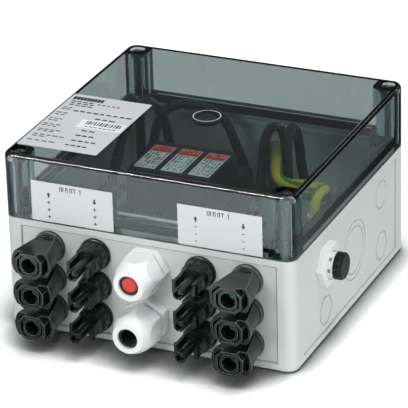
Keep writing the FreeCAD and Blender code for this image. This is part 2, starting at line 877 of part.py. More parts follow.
def gland_body(turn):
    body = hexagon(gland_flats, gland_hex_length, 0, turn)
    neck = rod(gland_neck_radius, gland_neck_length + bite, gland_hex_length - bite)
    thread = rod(gland_thread_radius, gland_inner_length + bite, -gland_inner_length)
    body = join(body, [neck, thread])
    whole = gland_inner_length + gland_hex_length + gland_neck_length
    return body.cut(rod(gland_bore_radius, whole + 2 * over, -gland_inner_length - over))


def gland_cap(turn, start):
    """Hexagonal skirt that runs into a dome with a round face and a mouth for the cable."""
    corner = gland_flats / math.sqrt(3)
    skirt = hexagon(gland_flats, cap_length, start, turn)
    end = start + cap_length
    wide = Vector(corner, 0, start + cap_dome_start)
    face = Vector(cap_face_radius, 0, end)
    low = Vector(corner, 0, start)
    centre = Vector(0, 0, start)
    tip = Vector(0, 0, end)
    arc = Part.Arc(wide, Vector(corner - cap_dome_sink, 0, start + cap_dome_middle), face)
    edges = [Part.makeLine(centre, low), Part.makeLine(low, wide), arc.toShape(), Part.makeLine(face, tip),
             Part.makeLine(tip, centre)]
    dome = Part.Face(Part.Wire(edges)).revolve(Vector(0, 0, 0), Vector(0, 0, 1), 360)
    body = skirt.common(dome)
    hollow = rod(gland_neck_radius + running_gap, cap_hollow + over, start - over)
    mouth = rod(cap_mouth_radius, cap_length + over, start)
    return body.cut([hollow, mouth])


def gland_insert(cap_start):
    """The soft clamping ring between the body's bore and the cap's shoulder, with a nose in the mouth."""
    shoulder = cap_start + cap_hollow
    foot = shoulder - insert_length
    nose_end = cap_start + cap_length - mouth_depth
    body = rod(insert_radius, insert_length, foot)
    nose = rod(insert_nose_radius, nose_end - shoulder + bite, shoulder - bite)
    return join(body, [nose]).cut(rod(insert_bore_radius, nose_end - foot + 2 * over, foot - over))


def blanking_plug(cap_start):
    end = cap_start + cap_length - blank_sink
    plug = rod(blank_radius, blank_length, end - blank_length)
    return plug.makeChamfer(blank_chamfer, edges_at_height(plug, end))


def vent_adapter():
    body = hexagon(vent_flats, vent_hex_length, 0, vent_turn)
    body = join(body, [rod(vent_thread_radius, vent_thread_length + bite, -vent_thread_length)])
    bore = rod(vent_stem_radius + thread_gap, vent_thread_length + vent_hex_length + 2 * over,
               -vent_thread_length - over)
    return body.cut(bore)


def vent_body():
    collar = rod(vent_collar_radius, vent_collar_length, vent_hex_length)
    stem = rod(vent_stem_radius, vent_hex_length + vent_stem_length + bite, -vent_stem_length)
    body = join(collar, [stem])
    whole = vent_stem_length + vent_hex_length + vent_collar_length
    cuts = [rod(vent_air_radius, whole + 2 * over, -vent_stem_length - over)]
    for k in range(vent_slots):
        slot = block(vent_collar_radius - vent_slot_depth, vent_collar_radius + over, -vent_slot_width / 2,
                     vent_slot_width / 2, vent_hex_length + vent_slot_margin,
                     vent_hex_length + vent_collar_length - vent_slot_margin)
        cuts.append(slot.rotated(Vector(0, 0, 0), Vector(0, 0, 1), 360 * k / vent_slots))
    return body.cut(cuts)


def vent_cap():
    start = vent_hex_length + vent_collar_length
    cap = rod(vent_cap_radius, vent_cap_length, start)
    cap = cap.makeChamfer(vent_cap_chamfer, edges_at_height(cap, start + vent_cap_length))
    cuts = []
    for k in range(vent_knurls):
        angle = 2 * math.pi * k / vent_knurls
        cuts.append(rod(vent_knurl_radius, vent_cap_length + 2 * over, start - over,
                        vent_cap_radius * math.cos(angle), vent_cap_radius * math.sin(angle)))
    return cap.cut(cuts)


def name_plate():
    return block(name_plate_x - name_plate_width / 2, name_plate_x + name_plate_width / 2,
                 name_plate_y - name_plate_depth / 2, name_plate_y + name_plate_depth / 2,
                 case_height, case_height + plate_thickness)


def front_label(x):
    y = -case_depth / 2
    return block(x - front_label_width / 2, x + front_label_width / 2, y - plate_thickness, y,
                 front_label_z - front_label_height / 2, front_label_z + front_label_height / 2)


def rounded_route(points):
    """Straight runs with tangent arcs as large as the two runs beside each point allow.

    Both ends run on by cable_trim, for the cut at the seat."""
    edges = []
    radii = []
    last = points[0] + (points[0] - points[1]).normalize() * cable_trim
    for k in range(1, len(points) - 1):
        here = points[k]
        back = points[k - 1] - here
        ahead = points[k + 1] - here
        turn = math.pi - back.getAngle(ahead)
        reach = arc_share * min(back.Length, ahead.Length)
        radius = reach / math.tan(turn / 2)
        radii.append(round(radius, 1))
        start = here + back.normalize() * reach
        end = here + ahead.normalize() * reach
        middle_way = (back + ahead).normalize()
        middle = here + middle_way * (radius / math.cos(turn / 2) - radius)
        if (start - last).Length > 1e-4:
            edges.append(Part.LineSegment(last, start).toShape())
        edges.append(Part.Arc(start, middle, end).toShape())
        last = end
    end = points[-1] + (points[-1] - points[-2]).normalize() * cable_trim
    edges.append(Part.LineSegment(last, end).toShape())
    return Part.Wire(edges), radii


def seat_block(end, neighbour, diameter):
    """What a cable end is cut back by: all past the flat face it meets, which is square to Y or Z."""
    run = neighbour - end
    depth = diameter + cable_trim
    if abs(run.z) > abs(run.y):
        middle = end - Vector(0, 0, math.copysign(depth / 2, run.z))
        half = Vector(diameter, diameter, depth / 2)
    else:
        middle = end - Vector(0, math.copysign(depth / 2, run.y), 0)
        half = Vector(diameter, depth / 2, diameter)
    low = middle - half
    high = middle + half
    return block(low.x, high.x, low.y, high.y, low.z, high.z)


def cable(name, route, diameter):
    points = [Vector(*p) for p in route]
    wire, radii = rounded_route(points)
    direction = points[1] - points[0]
    start = wire.OrderedVertexes[0].Point
    section = Part.Wire([Part.Circle(start, direction, diameter / 2).toShape()])
    body = wire.makePipeShell([section], True, False, 1)
    share = body.Volume / (math.pi * diameter ** 2 / 4 * wire.Length)
    length = wire.Length - 2 * cable_trim
    print(name, "length", round(length, 1), "radii", radii, "volume share", round(share, 4))
    ends = [(points[0], points[1]), (points[-1], points[-2])]
    return body.cut([seat_block(end, neighbour, diameter) for end, neighbour in ends])


def ferrule(x, y, z, direction):
    """A bare metal end sleeve; direction is -1 or 1 along Y."""
    turn = Rotation(Vector(1, 0, 0), -90 * direction)
    return place(rod(ferrule_radius, ferrule_length), x, y, z, turn)


def earth_post():
    foot = rod(earth_foot_radius, earth_foot_height, base_floor)
    stem = rod(earth_post_radius, earth_post_top - base_floor, base_floor)
    return join(foot, [stem]).translated(Vector(earth_post_x, earth_post_y, 0))


def earth_sleeve():
    cone = Part.makeCone(sleeve_narrow_radius, sleeve_wide_radius, sleeve_length)
    return cone.translated(Vector(earth_post_x, earth_post_y, earth_post_top))


# Where the wires start: the rear ends of the connectors, and just inside the wire entries.
wire_y = front_y + connector_thread_length + spigot_length
entry_front_y = surge_front_y + cable_entry
entry_back_y = surge_back_y - cable_entry
row_top, row_mid, row_low = row_z
outer = column_outer_x
inner = column_inner_x
tz = terminal_z
first_x, second_x, third_x = [module_x(k) for k in range(module_count)]

routes = {
    "cable_plus_outer": [
        (-outer, wire_y, row_top), (-62.5, -45, 56), (-64, -2, 58), (-64, 13, 71), (-64, 16, 92),
        (-63.5, 29, 102), (-63.5, 41, 88), (-64, 42, 60), (-64, 43, 34), (-64.5, 28, 21.5),
        (-64.5, -8, 21.5), (-63, -45, 18.5), (-outer, wire_y, row_low)],
    "cable_plus_inner": [
        (-inner, wire_y, row_top), (-37, -53, 60), (-50, -32, 70), (-53, -8, 90), (-53, 18, 103),
        (-51, 42, 92), (-50, 55, 64), (-51, 55, 34), (-53, 32, 21.5), (-52, -8, 21.5), (-45, -46, 19),
        (-inner, wire_y, row_low)],
    "cable_arch": [
        (-outer, wire_y, row_mid), (-66, -48, 35.5), (-74, -10, 36), (-74, 32, 37), (-72, 56, 41),
        (-67, 66, 51), (-64.5, 66, 66), (-55.5, 65, 81.5), (-33, 63, 86), (-15.5, 62, 80), (-10, 63, 64),
        (-5, 67, 47), (third_x, 64, 31.5), (third_x, entry_back_y, tz)],
    "cable_minus_inner": [
        (inner, wire_y, row_top), (33.3, -48, 55.5), (33.5, -10, 57), (33.7, 2, 73), (34, 4, 95),
        (34.3, 17, 102), (34.5, 36, 90), (34.8, 39, 62), (36, 40, 33), (37, 28, 21.5), (35.5, -10, 21.3),
        (34, -45, 18), (inner, wire_y, row_low)],
    "cable_minus_outer": [
        (outer, wire_y, row_top), (61.5, -46, 56.5), (56, -13, 61), (51.8, -1, 76), (50.3, 0.5, 97),
        (48.7, 13.5, 106), (48, 25, 93), (48.3, 29, 65), (56, 36, 36), (64, 27, 21.5), (67.5, -8, 21.8),
        (65, -45, 18.5), (outer, wire_y, row_low)],
    "cable_wall": [
        (outer, wire_y, row_mid), (66, -48, 35.5), (75, -10, 36), (75, 30, 36.5), (70, 56, 36),
        (55, 71, 35), (34, 74, 33), (8, 74, 31), (-10, 71, 29), (-18, 62, 27.5),
        (second_x, entry_back_y, tz)],
}
lead_routes = {
    "lead_plus": [
        (-inner, wire_y, row_mid), (-33.5, -60, 34), (first_x, -51, tz + 1), (first_x, entry_front_y, tz)],
    "lead_minus": [
        (inner, wire_y, row_mid), (31, -58.5, 33.5), (17, -52.5, 30), (2, -52, 27.5),
        (third_x, entry_front_y, tz)],
}
earth_route = [
    (first_x, entry_back_y, tz), (first_x, 59, 26), (-33, 68, 16), (-18, 70, 11.5), (10, 69, 11.5),
    (32, 64, 12), (44, 50, 13.5), (45.5, 31, 18), (38.5, 20, 42), (34.5, 15.5, 66), (34.2, 15, 82),
    (39.5, 9.5, 94), (47.6, -9, 93), (49.5, -14.5, 82.5), (59, -17.5, 80.8), (68, -15, 81.3),
    (75.8, -13.8, 83), (80.3, -20, 85.5), (80.3, -26.5, 87.3), (earth_post_x, earth_post_y, 82.5),
    (earth_post_x, earth_post_y, earth_post_top + sleeve_length)]


def build_nodes():
    nodes = {}
    nodes["base_housing"] = base_housing()
    nodes["lid"] = lid()
    nodes["lid_gasket"] = lid_gasket()
    for k, (x, y) in enumerate(corner_points(screw_x, screw_y)):
        nodes["lid_screw_%d" % (k + 1)] = lid_screw(x, y)
    nodes["din_rail"] = din_rail()
    nodes["rail_screws"] = rail_screws()
    nodes["surge_base"] = surge_base()
    nodes["surge_latch"] = surge_latch()
    nodes["surge_marker_strip"] = marker_strip()
    nodes["surge_terminal_screws"] = terminal_screws()
    for k in range(module_count):
        nodes["surge_plug_%d" % (k + 1)] = surge_plug(module_x(k))
        nodes["surge_label_%d" % (k + 1)] = surge_label(module_x(k))
    socket = socket_connector()
    plug = plug_connector()
    for k, z in enumerate(row_z):
        nodes["input_plus_%d" % (k + 1)] = on_front(socket, -outer, z)
        nodes["output_plus_%d" % (k + 1)] = on_front(plug, -inner, z)
        nodes["input_minus_%d" % (k + 1)] = on_front(plug, inner, z)
        nodes["output_minus_%d" % (k + 1)] = on_front(socket, outer, z)
    sockets = connector_places([-outer, outer])
    plugs = connector_places([-inner, inner])
    nodes["socket_contacts"] = Part.makeCompound([on_front(socket_contact(), x, z) for x, z in sockets])
    nodes["plug_contacts"] = Part.makeCompound([on_front(plug_contact(), x, z) for x, z in plugs])
    nodes["connector_washers"] = Part.makeCompound([on_front(connector_washer(), x, z)
                                                    for x, z in sockets + plugs])
    small_nut = lock_nut(lock_nut_flats, lock_nut_thickness, connector_thread_radius)
    nodes["connector_lock_nuts"] = Part.makeCompound([on_front(small_nut, x, z) for x, z in sockets + plugs])
    upper_start = gland_hex_length + cap_gap
    lower_start = upper_start + gland_lower_extra
    for name, turn, start, z in [("upper", 0, upper_start, gland_upper_z),
                                 ("lower", 30, lower_start, gland_lower_z)]:
        nodes["gland_body_" + name] = on_front(gland_body(turn), 0, z)
        nodes["gland_cap_" + name] = on_front(gland_cap(turn, start), 0, z)
        nodes["gland_insert_" + name] = on_front(gland_insert(start), 0, z)
    nodes["blanking_plug"] = on_front(blanking_plug(upper_start), 0, gland_upper_z)
    gland_nut = lock_nut(gland_flats, gland_nut_thickness, gland_thread_radius)
    vent_nut = lock_nut(vent_flats, gland_nut_thickness, vent_thread_radius)
    nodes["gland_lock_nuts"] = Part.makeCompound([on_front(gland_nut, 0, gland_upper_z),
                                                  on_front(gland_nut, 0, gland_lower_z),
                                                  on_side(vent_nut, vent_y, vent_z)])
    nodes["vent_adapter"] = on_side(vent_adapter(), vent_y, vent_z)
    nodes["vent_body"] = on_side(vent_body(), vent_y, vent_z)
    nodes["vent_cap"] = on_side(vent_cap(), vent_y, vent_z)
    nodes["name_plate"] = name_plate()
    nodes["label_plus"] = front_label(-front_label_x)
    nodes["label_minus"] = front_label(front_label_x)
    for name, route in routes.items():
        nodes[name] = cable(name, route, cable_diameter)
    nodes["surge_leads"] = Part.makeCompound([cable(name, route, cable_diameter)
                                              for name, route in lead_routes.items()])
    nodes["earth_lead"] = cable("earth_lead", earth_route, earth_diameter)
    ends = [ferrule(x, entry_front_y, tz, 1) for x in (first_x, second_x, third_x)]
    ends += [ferrule(x, entry_back_y, tz, -1) for x in (second_x, third_x)]
    nodes["wire_ferrules"] = Part.makeCompound(ends)
    nodes["earth_sleeve"] = earth_sleeve()
    nodes["earth_post"] = earth_post()
    return nodes


os.makedirs("parts", exist_ok=True)
for node, shape in build_nodes().items():
    shape.exportStep("parts/%s.step" % node)
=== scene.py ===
import json
import math

import bmesh
import bpy
from mathutils import Matrix, Vector


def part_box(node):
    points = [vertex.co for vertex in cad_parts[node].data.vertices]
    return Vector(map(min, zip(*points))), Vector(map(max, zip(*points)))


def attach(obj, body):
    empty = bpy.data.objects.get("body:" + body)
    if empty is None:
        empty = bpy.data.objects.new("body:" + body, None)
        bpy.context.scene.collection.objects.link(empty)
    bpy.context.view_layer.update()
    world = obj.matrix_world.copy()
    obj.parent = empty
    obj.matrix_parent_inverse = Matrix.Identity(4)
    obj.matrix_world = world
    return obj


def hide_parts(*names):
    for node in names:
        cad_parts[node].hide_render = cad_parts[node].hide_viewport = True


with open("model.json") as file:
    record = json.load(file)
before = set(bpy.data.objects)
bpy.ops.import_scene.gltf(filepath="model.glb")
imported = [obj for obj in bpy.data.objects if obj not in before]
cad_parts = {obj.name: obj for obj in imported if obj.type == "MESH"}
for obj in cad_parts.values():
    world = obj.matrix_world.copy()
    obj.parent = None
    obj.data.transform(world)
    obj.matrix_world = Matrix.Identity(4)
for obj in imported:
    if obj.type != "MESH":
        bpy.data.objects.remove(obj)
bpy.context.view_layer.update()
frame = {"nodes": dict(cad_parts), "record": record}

record = frame["record"]
slotOfNode = {part["node"]: part["material_slot"] for part in record["subparts"]}
bodyOfNode = {node: body for body, nodes in record["behaviour"]["bodies"].items() for node in nodes}
mm = 0.001
print("frame loaded:", len(frame["nodes"]), "nodes")


# Small helpers for objects, meshes and node trees

def addObject(name, data):
    thing = bpy.data.objects.new(name, data)
    bpy.context.scene.collection.objects.link(thing)
    return thing


def meshFrom(bm, name):
    mesh = bpy.data.meshes.new(name)
    bm.to_mesh(mesh)
    bm.free()
    return mesh


def setInput(tree, socket, value):
    # a node stands for its first output
    if isinstance(value, bpy.types.Node):
        value = value.outputs[0]
    if isinstance(value, bpy.types.NodeSocket):
        tree.links.new(value, socket)
    else:
        socket.default_value = value


def addNode(tree, kind, inputs=None, **settings):
    node = tree.nodes.new(kind)
    for name, value in settings.items():
        setattr(node, name, value)
    for name, value in (inputs or {}).items():
        setInput(tree, node.inputs[name], value)
    return node


def addMath(tree, operation, first, second=None, third=None, clamp=False):
    given = enumerate((first, second, third))
    inputs = {index: value for index, value in given if value is not None}
    return addNode(tree, "ShaderNodeMath", inputs, operation=operation, use_clamp=clamp).outputs[0]


def addRange(tree, value, low, high, newLow, newHigh):
    return addNode(tree, "ShaderNodeMapRange", {"Value": value, "From Min": low, "From Max": high,
                                                "To Min": newLow, "To Max": newHigh}).outputs[0]


def addNoise(tree, vector, scale, detail, roughness=0.5):
    return addNode(tree, "ShaderNodeTexNoise", {"Vector": vector, "Scale": scale, "Detail": detail,
                                                "Roughness": roughness}).outputs[0]


def mixColor(tree, factor, first, second):
    return addNode(tree, "ShaderNodeMix", {0: factor, 6: first, 7: second}, data_type="RGBA").outputs[2]


def objectPlace(tree):
    return addNode(tree, "ShaderNodeTexCoord").outputs["Object"]


def axisOf(tree, vector, axis):
    return addNode(tree, "ShaderNodeSeparateXYZ", {"Vector": vector}).outputs[axis]


def attributeOf(tree, name, output="Fac"):
    return addNode(tree, "ShaderNodeAttribute", attribute_name=name).outputs[output]


def rgba(color):
    return (*color, 1.0)


def startGroup(name, inputs, outputs):
    group = bpy.data.node_groups.new(name, "ShaderNodeTree")
    for label, kind, value in inputs:
        socket = group.interface.new_socket(label, in_out="INPUT", socket_type="NodeSocket" + kind)
        socket.default_value = value
    for label, kind in outputs:
        group.interface.new_socket(label, in_out="OUTPUT", socket_type="NodeSocket" + kind)
    return group, group.nodes.new("NodeGroupInput").outputs, group.nodes.new("NodeGroupOutput").inputs


def placeGroup(tree, group, inputs):
    return addNode(tree, "ShaderNodeGroup", inputs, node_tree=group).outputs


def startMaterial(name, **shaderValues):
    material = bpy.data.materials.new(name)
    material.use_nodes = True
    tree = material.node_tree
    tree.nodes.clear()
    shader = addNode(tree, "ShaderNodeBsdfPrincipled", shaderValues)
    addNode(tree, "ShaderNodeOutputMaterial", {"Surface": shader})
    return material, tree, shader


def coatShader(tree, shader, color, rough, height, depth):
    bump = addNode(tree, "ShaderNodeBump", {"Height": height, "Strength": 1.0, "Distance": depth})
    for name, value in (("Base Color", color), ("Roughness", rough), ("Normal", bump)):
        setInput(tree, shader.inputs[name], value)


def setOutput(tree, name, node):
    setInput(tree, tree.get_output_node("ALL").inputs[name], node)


# Camera, at the photograph's viewing angle

cameraView = {"position": (0.667, -1.488, 0.815), "turn": 24.26, "down": 25.03, "lean": -1.63, "lens": 265.2}


def makeCamera(view):
    turn, down, lean = (math.radians(view[key]) for key in ("turn", "down", "lean"))
    ahead = Vector((-math.sin(turn) * math.cos(down), math.cos(turn) * math.cos(down), -math.sin(down)))
    right = Vector((math.cos(turn), math.sin(turn), 0))
    up = right.cross(ahead)
    leanedRight = right * math.cos(lean) + up * math.sin(lean)
    leanedUp = up * math.cos(lean) - right * math.sin(lean)
    data = bpy.data.cameras.new("photoCamera")
    data.lens = view["lens"]
    camera = addObject("photoCamera", data)
    rotation = Matrix((leanedRight, leanedUp, -ahead)).transposed().to_4x4()
    camera.matrix_world = Matrix.Translation(view["position"]) @ rotation
    bpy.context.scene.camera = camera


makeCamera(cameraView)
print("camera placed")


# Studio: pale floor, soft key from the front left, white surroundings

studio = {
    "floorColor": (0.80, 0.80, 0.80), "floorRough": 0.9, "floorHalf": 4.0, "floorDrop": 0.0003,
    "floorSeen": 1.32, "backdropThrough": 0.62,  # the white paper as seen, and as seen through the lid
    "contactReach": 0.024, "contactDark": 0.10,  # shadow close round the box
    "contactFrom": 0.48, "contactTo": 0.94, "contactSamples": 8,
    "farMirror": 2.4, "nearMirror": 0.5, "nearFrom": -0.24, "nearTo": -0.19,  # mirrored floor in front
    "backMirror": 0.1, "backFrom": 0.0, "backTo": 0.2, "mirrorTint": 0.12,  # and behind, with less red
    "ambient": 0.42, "ambientColor": (0.97, 0.985, 1.0), "through": 0.15,  # surroundings that light the box
    "horizon": 0.08, "zenith": 0.6, "paleFrom": 0.5, "paleTo": 0.8,  # and those it mirrors, low and high
    "softboxes": [
        {"toward": (-0.372, -0.62, 0.69), "flat": (0.3, 1, 1), "edge": 0.15, "core": 0.10, "strength": 26.0},
        {"toward": (0.423, 0.826, 0.372), "flat": (1, 1, 1), "edge": 0.10, "core": 0.06, "strength": 1.5},
    ],
    "lamps": [
        {"name": "keyLamp", "place": (-0.35, -2.2, 1.1), "size": 0.8, "power": 21.0},
        {"name": "sideLamp", "place": (2.2, -0.6, 0.6), "size": 0.8, "power": 17.0},
        {"name": "topLamp", "place": (0.45, -0.3, 2.25), "size": 0.9, "power": 22.5},
    ],
}


def sightPaths(tree):
    # rays of the eye, those of them that have passed the lid, and rays mirrored by a surface
    path = tree.nodes.new("ShaderNodeLightPath").outputs
    through = path["Is Transmission Ray"]
    mirrored = addMath(tree, "SUBTRACT", path["Is Glossy Ray"], through, clamp=True)
    return path["Is Camera Ray"], through, mirrored


def pathShare(tree, direct, throughLid, mirroredShare):
    camera, through, mirrored = sightPaths(tree)
    share = addMath(tree, "MULTIPLY_ADD", camera, direct, addMath(tree, "MULTIPLY", through, throughLid))
    share = addMath(tree, "MULTIPLY_ADD", mirrored, mirroredShare, share)
    return share, addMath(tree, "MAXIMUM", camera, addMath(tree, "MAXIMUM", through, mirrored))


def makeSurroundings(look):
    world = bpy.data.worlds.new("studioWorld")
    bpy.context.scene.world = world
    world.use_nodes = True
    tree = world.node_tree
    tree.nodes.clear()
    ambient = addNode(tree, "ShaderNodeBackground", {"Color": rgba(look["ambientColor"]),
                                                     "Strength": look["ambient"]})
    # mirrored surroundings: dark walls, a pale ceiling and softboxes that only show as highlights
    sky = addNode(tree, "ShaderNodeTexCoord").outputs["Generated"]
    height = axisOf(tree, sky, "Z")
    room = addRange(tree, height, look["paleFrom"], look["paleTo"], look["horizon"], look["zenith"])
    for box in look["softboxes"]:
        off = addNode(tree, "ShaderNodeVectorMath", {0: sky, 1: Vector(box["toward"]).normalized()},
                      operation="SUBTRACT").outputs["Vector"]
        off = addNode(tree, "ShaderNodeVectorMath", {0: off, 1: Vector(box["flat"])},
                      operation="MULTIPLY").outputs["Vector"]
        off = addNode(tree, "ShaderNodeVectorMath", {0: off}, operation="LENGTH").outputs["Value"]
        glow = addRange(tree, off, box["core"], box["edge"], box["strength"], 0.0)
        room = addMath(tree, "ADD", room, glow)
    share, seen = pathShare(tree, 1.0, look["through"], room)
    white = addNode(tree, "ShaderNodeBackground", {"Color": (1, 1, 1, 1), "Strength": share})
    mix = addNode(tree, "ShaderNodeMixShader", {0: seen, 1: ambient, 2: white})
    addNode(tree, "ShaderNodeOutputWorld", {"Surface": mix})


def makeFloor(look):
    half, z = look["floorHalf"], -look["floorDrop"]
    mesh = bpy.data.meshes.new("studioFloor")
    corners = [(-half, -half, z), (half, -half, z), (half, half, z), (-half, half, z)]
    mesh.from_pydata(corners, [], [(0, 1, 2, 3)])
    floor = addObject("studioFloor", mesh)
    material, tree, shader = startMaterial("floorPaper", Roughness=look["floorRough"])
    shader.inputs["Base Color"].default_value = rgba(look["floorColor"])
    # the eye sees the paper burnt out to white; mirrored, it is bright only in front of the box
    depth = axisOf(tree, objectPlace(tree), "Y")
    front = addRange(tree, depth, look["nearFrom"], look["nearTo"], look["farMirror"], look["nearMirror"])
    back = addRange(tree, depth, look["backFrom"], look["backTo"], 1.0, look["backMirror"])
    # a dark seam of shadow close round the box
    free = addNode(tree, "ShaderNodeAmbientOcclusion", {"Distance": look["contactReach"]},
                   samples=look["contactSamples"]).outputs["AO"]
    near = addRange(tree, free, look["contactFrom"], look["contactTo"], look["contactDark"], 1.0)
    share, seen = pathShare(tree, addMath(tree, "MULTIPLY", near, look["floorSeen"]), look["backdropThrough"],
                            addMath(tree, "MULTIPLY", front, back))
    cooler = addMath(tree, "MULTIPLY_ADD", sightPaths(tree)[2], -look["mirrorTint"], 1.0)
    tone = addNode(tree, "ShaderNodeCombineXYZ", {"X": addMath(tree, "MULTIPLY", share, cooler), "Y": share,
                                                  "Z": share})
    paper = addNode(tree, "ShaderNodeBsdfDiffuse", {"Color": tone})
    setOutput(tree, "Surface", addNode(tree, "ShaderNodeMixShader", {0: seen, 1: shader, 2: paper}))
    mesh.materials.append(material)


def makeLamps(look):
    for lamp in look["lamps"]:
        data = bpy.data.lights.new(lamp["name"], "AREA")
        data.size = lamp["size"]
        data.energy = lamp["power"]
        light = addObject(lamp["name"], data)
        place = Vector(lamp["place"])
        light.matrix_world = Matrix.Translation(place) @ place.to_track_quat("Z", "Y").to_matrix().to_4x4()
        # a lamp lights the box, but shows in none of its mirroring faces
        light.visible_glossy = False
        light.visible_transmission = False


makeSurroundings(studio)
makeFloor(studio)
makeLamps(studio)
bpy.context.scene.view_settings.view_transform = "Standard"
print("studio lit")


# Shared effects, as node groups

mouldedSkin = {"grainDetail": 3.0, "grainRoughness": 0.6, "cloudScale": 26.0, "cloudDetail": 4.0,
               "roughByGrain": 0.18, "roughByCloud": 0.12}


def mouldedGroup(look):
    # fine spark-eroded grain and broad, faint clouding
    group, given, out = startGroup("mouldedSurface", [
        ("Color", "Color", (0.5, 0.5, 0.5, 1)), ("Roughness", "Float", 0.5), ("Grain Scale", "Float", 2500.0),
        ("Clouding", "Float", 0.04)], [("Color", "Color"), ("Roughness", "Float"), ("Height", "Float")])
    place = objectPlace(group)
    grain = addNoise(group, place, given["Grain Scale"], look["grainDetail"], look["grainRoughness"])
    cloud = addMath(group, "SUBTRACT", addNoise(group, place, look["cloudScale"], look["cloudDetail"]), 0.5)
    value = addMath(group, "MULTIPLY_ADD", addMath(group, "MULTIPLY", cloud, given["Clouding"]), 2.0, 1.0)
    tone = addNode(group, "ShaderNodeHueSaturation", {"Value": value, "Color": given["Color"]})
    group.links.new(tone.outputs[0], out["Color"])
    rough = addMath(group, "MULTIPLY_ADD", addMath(group, "SUBTRACT", grain, 0.5), look["roughByGrain"],
                    given["Roughness"])
    rough = addMath(group, "ADD", rough, addMath(group, "MULTIPLY", cloud, look["roughByCloud"]), clamp=True)
    group.links.new(rough, out["Roughness"])
    group.links.new(grain, out["Height"])
    return group


wearAndSheenPatches = {"scale": 240.0, "detail": 3.0, "from": 0.35, "to": 0.65, "least": 0.5}


def edgeGroup(look):
    # edges made lighter, partly by wear that hands and packing have polished, partly by a painted highlight
    # along the rounded edges; reads the "edge" attribute of a finished piece
    group, given, out = startGroup("edgeWearAndSheen", [
        ("Color", "Color", (0.5, 0.5, 0.5, 1)), ("Edge Color", "Color", (0.8, 0.8, 0.8, 1)),
        ("Amount", "Float", 0.5)], [("Color", "Color")])
    edge = attributeOf(group, "edge")
    patch = addNoise(group, objectPlace(group), look["scale"], look["detail"])
    patch = addRange(group, patch, look["from"], look["to"], look["least"], 1.0)
    mask = addMath(group, "MULTIPLY", addMath(group, "MULTIPLY", edge, patch), given["Amount"], clamp=True)
    group.links.new(mixColor(group, mask, given["Color"], given["Edge Color"]), out["Color"])
    return group


thinDust = {"scale": 420.0, "detail": 5.0, "from": 0.42, "to": 0.7}


def dustGroup(look):
    # thin dust that settles on what faces up
    group, given, out = startGroup("settledDust", [
        ("Color", "Color", (0.5, 0.5, 0.5, 1)), ("Dust Color", "Color", (0.55, 0.55, 0.53, 1)),
        ("Amount", "Float", 0.1)], [("Color", "Color")])
    upward = axisOf(group, addNode(group, "ShaderNodeNewGeometry").outputs["Normal"], "Z")
    speckle = addNoise(group, objectPlace(group), look["scale"], look["detail"])
    speckle = addRange(group, speckle, look["from"], look["to"], 0.0, 1.0)
    settled = addMath(group, "MULTIPLY", upward, speckle, clamp=True)
    mask = addMath(group, "MULTIPLY", settled, given["Amount"])
    group.links.new(mixColor(group, mask, given["Color"], given["Dust Color"]), out["Color"])
    return group


rubbing = {"turn": (0.0, 0.0, 0.6), "stretch": (1.0, 14.0, 4.0), "detail": 6.0, "roughness": 0.7,
           "from": 0.52, "to": 0.75}


def scuffGroup(look):
    # faint rubbing marks, long in one direction
    group, given, out = startGroup("scuffMarks", [
        ("Roughness", "Float", 0.2), ("Amount", "Float", 0.1), ("Scale", "Float", 60.0)],
        [("Roughness", "Float")])
    stretched = addNode(group, "ShaderNodeMapping", {"Vector": objectPlace(group), "Rotation": look["turn"],
                                                     "Scale": look["stretch"]})
    marks = addNoise(group, stretched, given["Scale"], look["detail"], look["roughness"])
    marks = addRange(group, marks, look["from"], look["to"], 0.0, 1.0)
    rough = addMath(group, "MULTIPLY_ADD", marks, given["Amount"], given["Roughness"], clamp=True)
    group.links.new(rough, out["Roughness"])
    return group


latheStain = {"scale": 900.0, "detail": 3.0, "from": 0.3, "to": 0.7, "bright": 0.22, "dull": 0.42}


def turnedGroup(look):
    # fine rings left by the lathe; reads the "axisDistance" attribute of a turned piece
    group, given, out = startGroup("turnedRings", [("Rings per Metre", "Float", 4000.0)],
                                   [("Height", "Float"), ("Roughness", "Float")])
    distance = attributeOf(group, "axisDistance")
    wave = addMath(group, "SINE", addMath(group, "MULTIPLY", distance, given["Rings per Metre"]))
    stain = addNoise(group, objectPlace(group), look["scale"], look["detail"])
    stain = addRange(group, stain, look["from"], look["to"], look["bright"], look["dull"])
    group.links.new(wave, out["Height"])
    group.links.new(stain, out["Roughness"])
    return group


moulded = mouldedGroup(mouldedSkin)
edgeWearAndSheen = edgeGroup(wearAndSheenPatches)
settledDust = dustGroup(thinDust)
scuffMarks = scuffGroup(rubbing)
turnedRings = turnedGroup(latheStain)


def grainedSurface(tree, color, rough, grain, clouding):
    return placeGroup(tree, moulded, {"Color": color, "Roughness": rough, "Grain Scale": grain,
                                      "Clouding": clouding})


print("shared effects built")
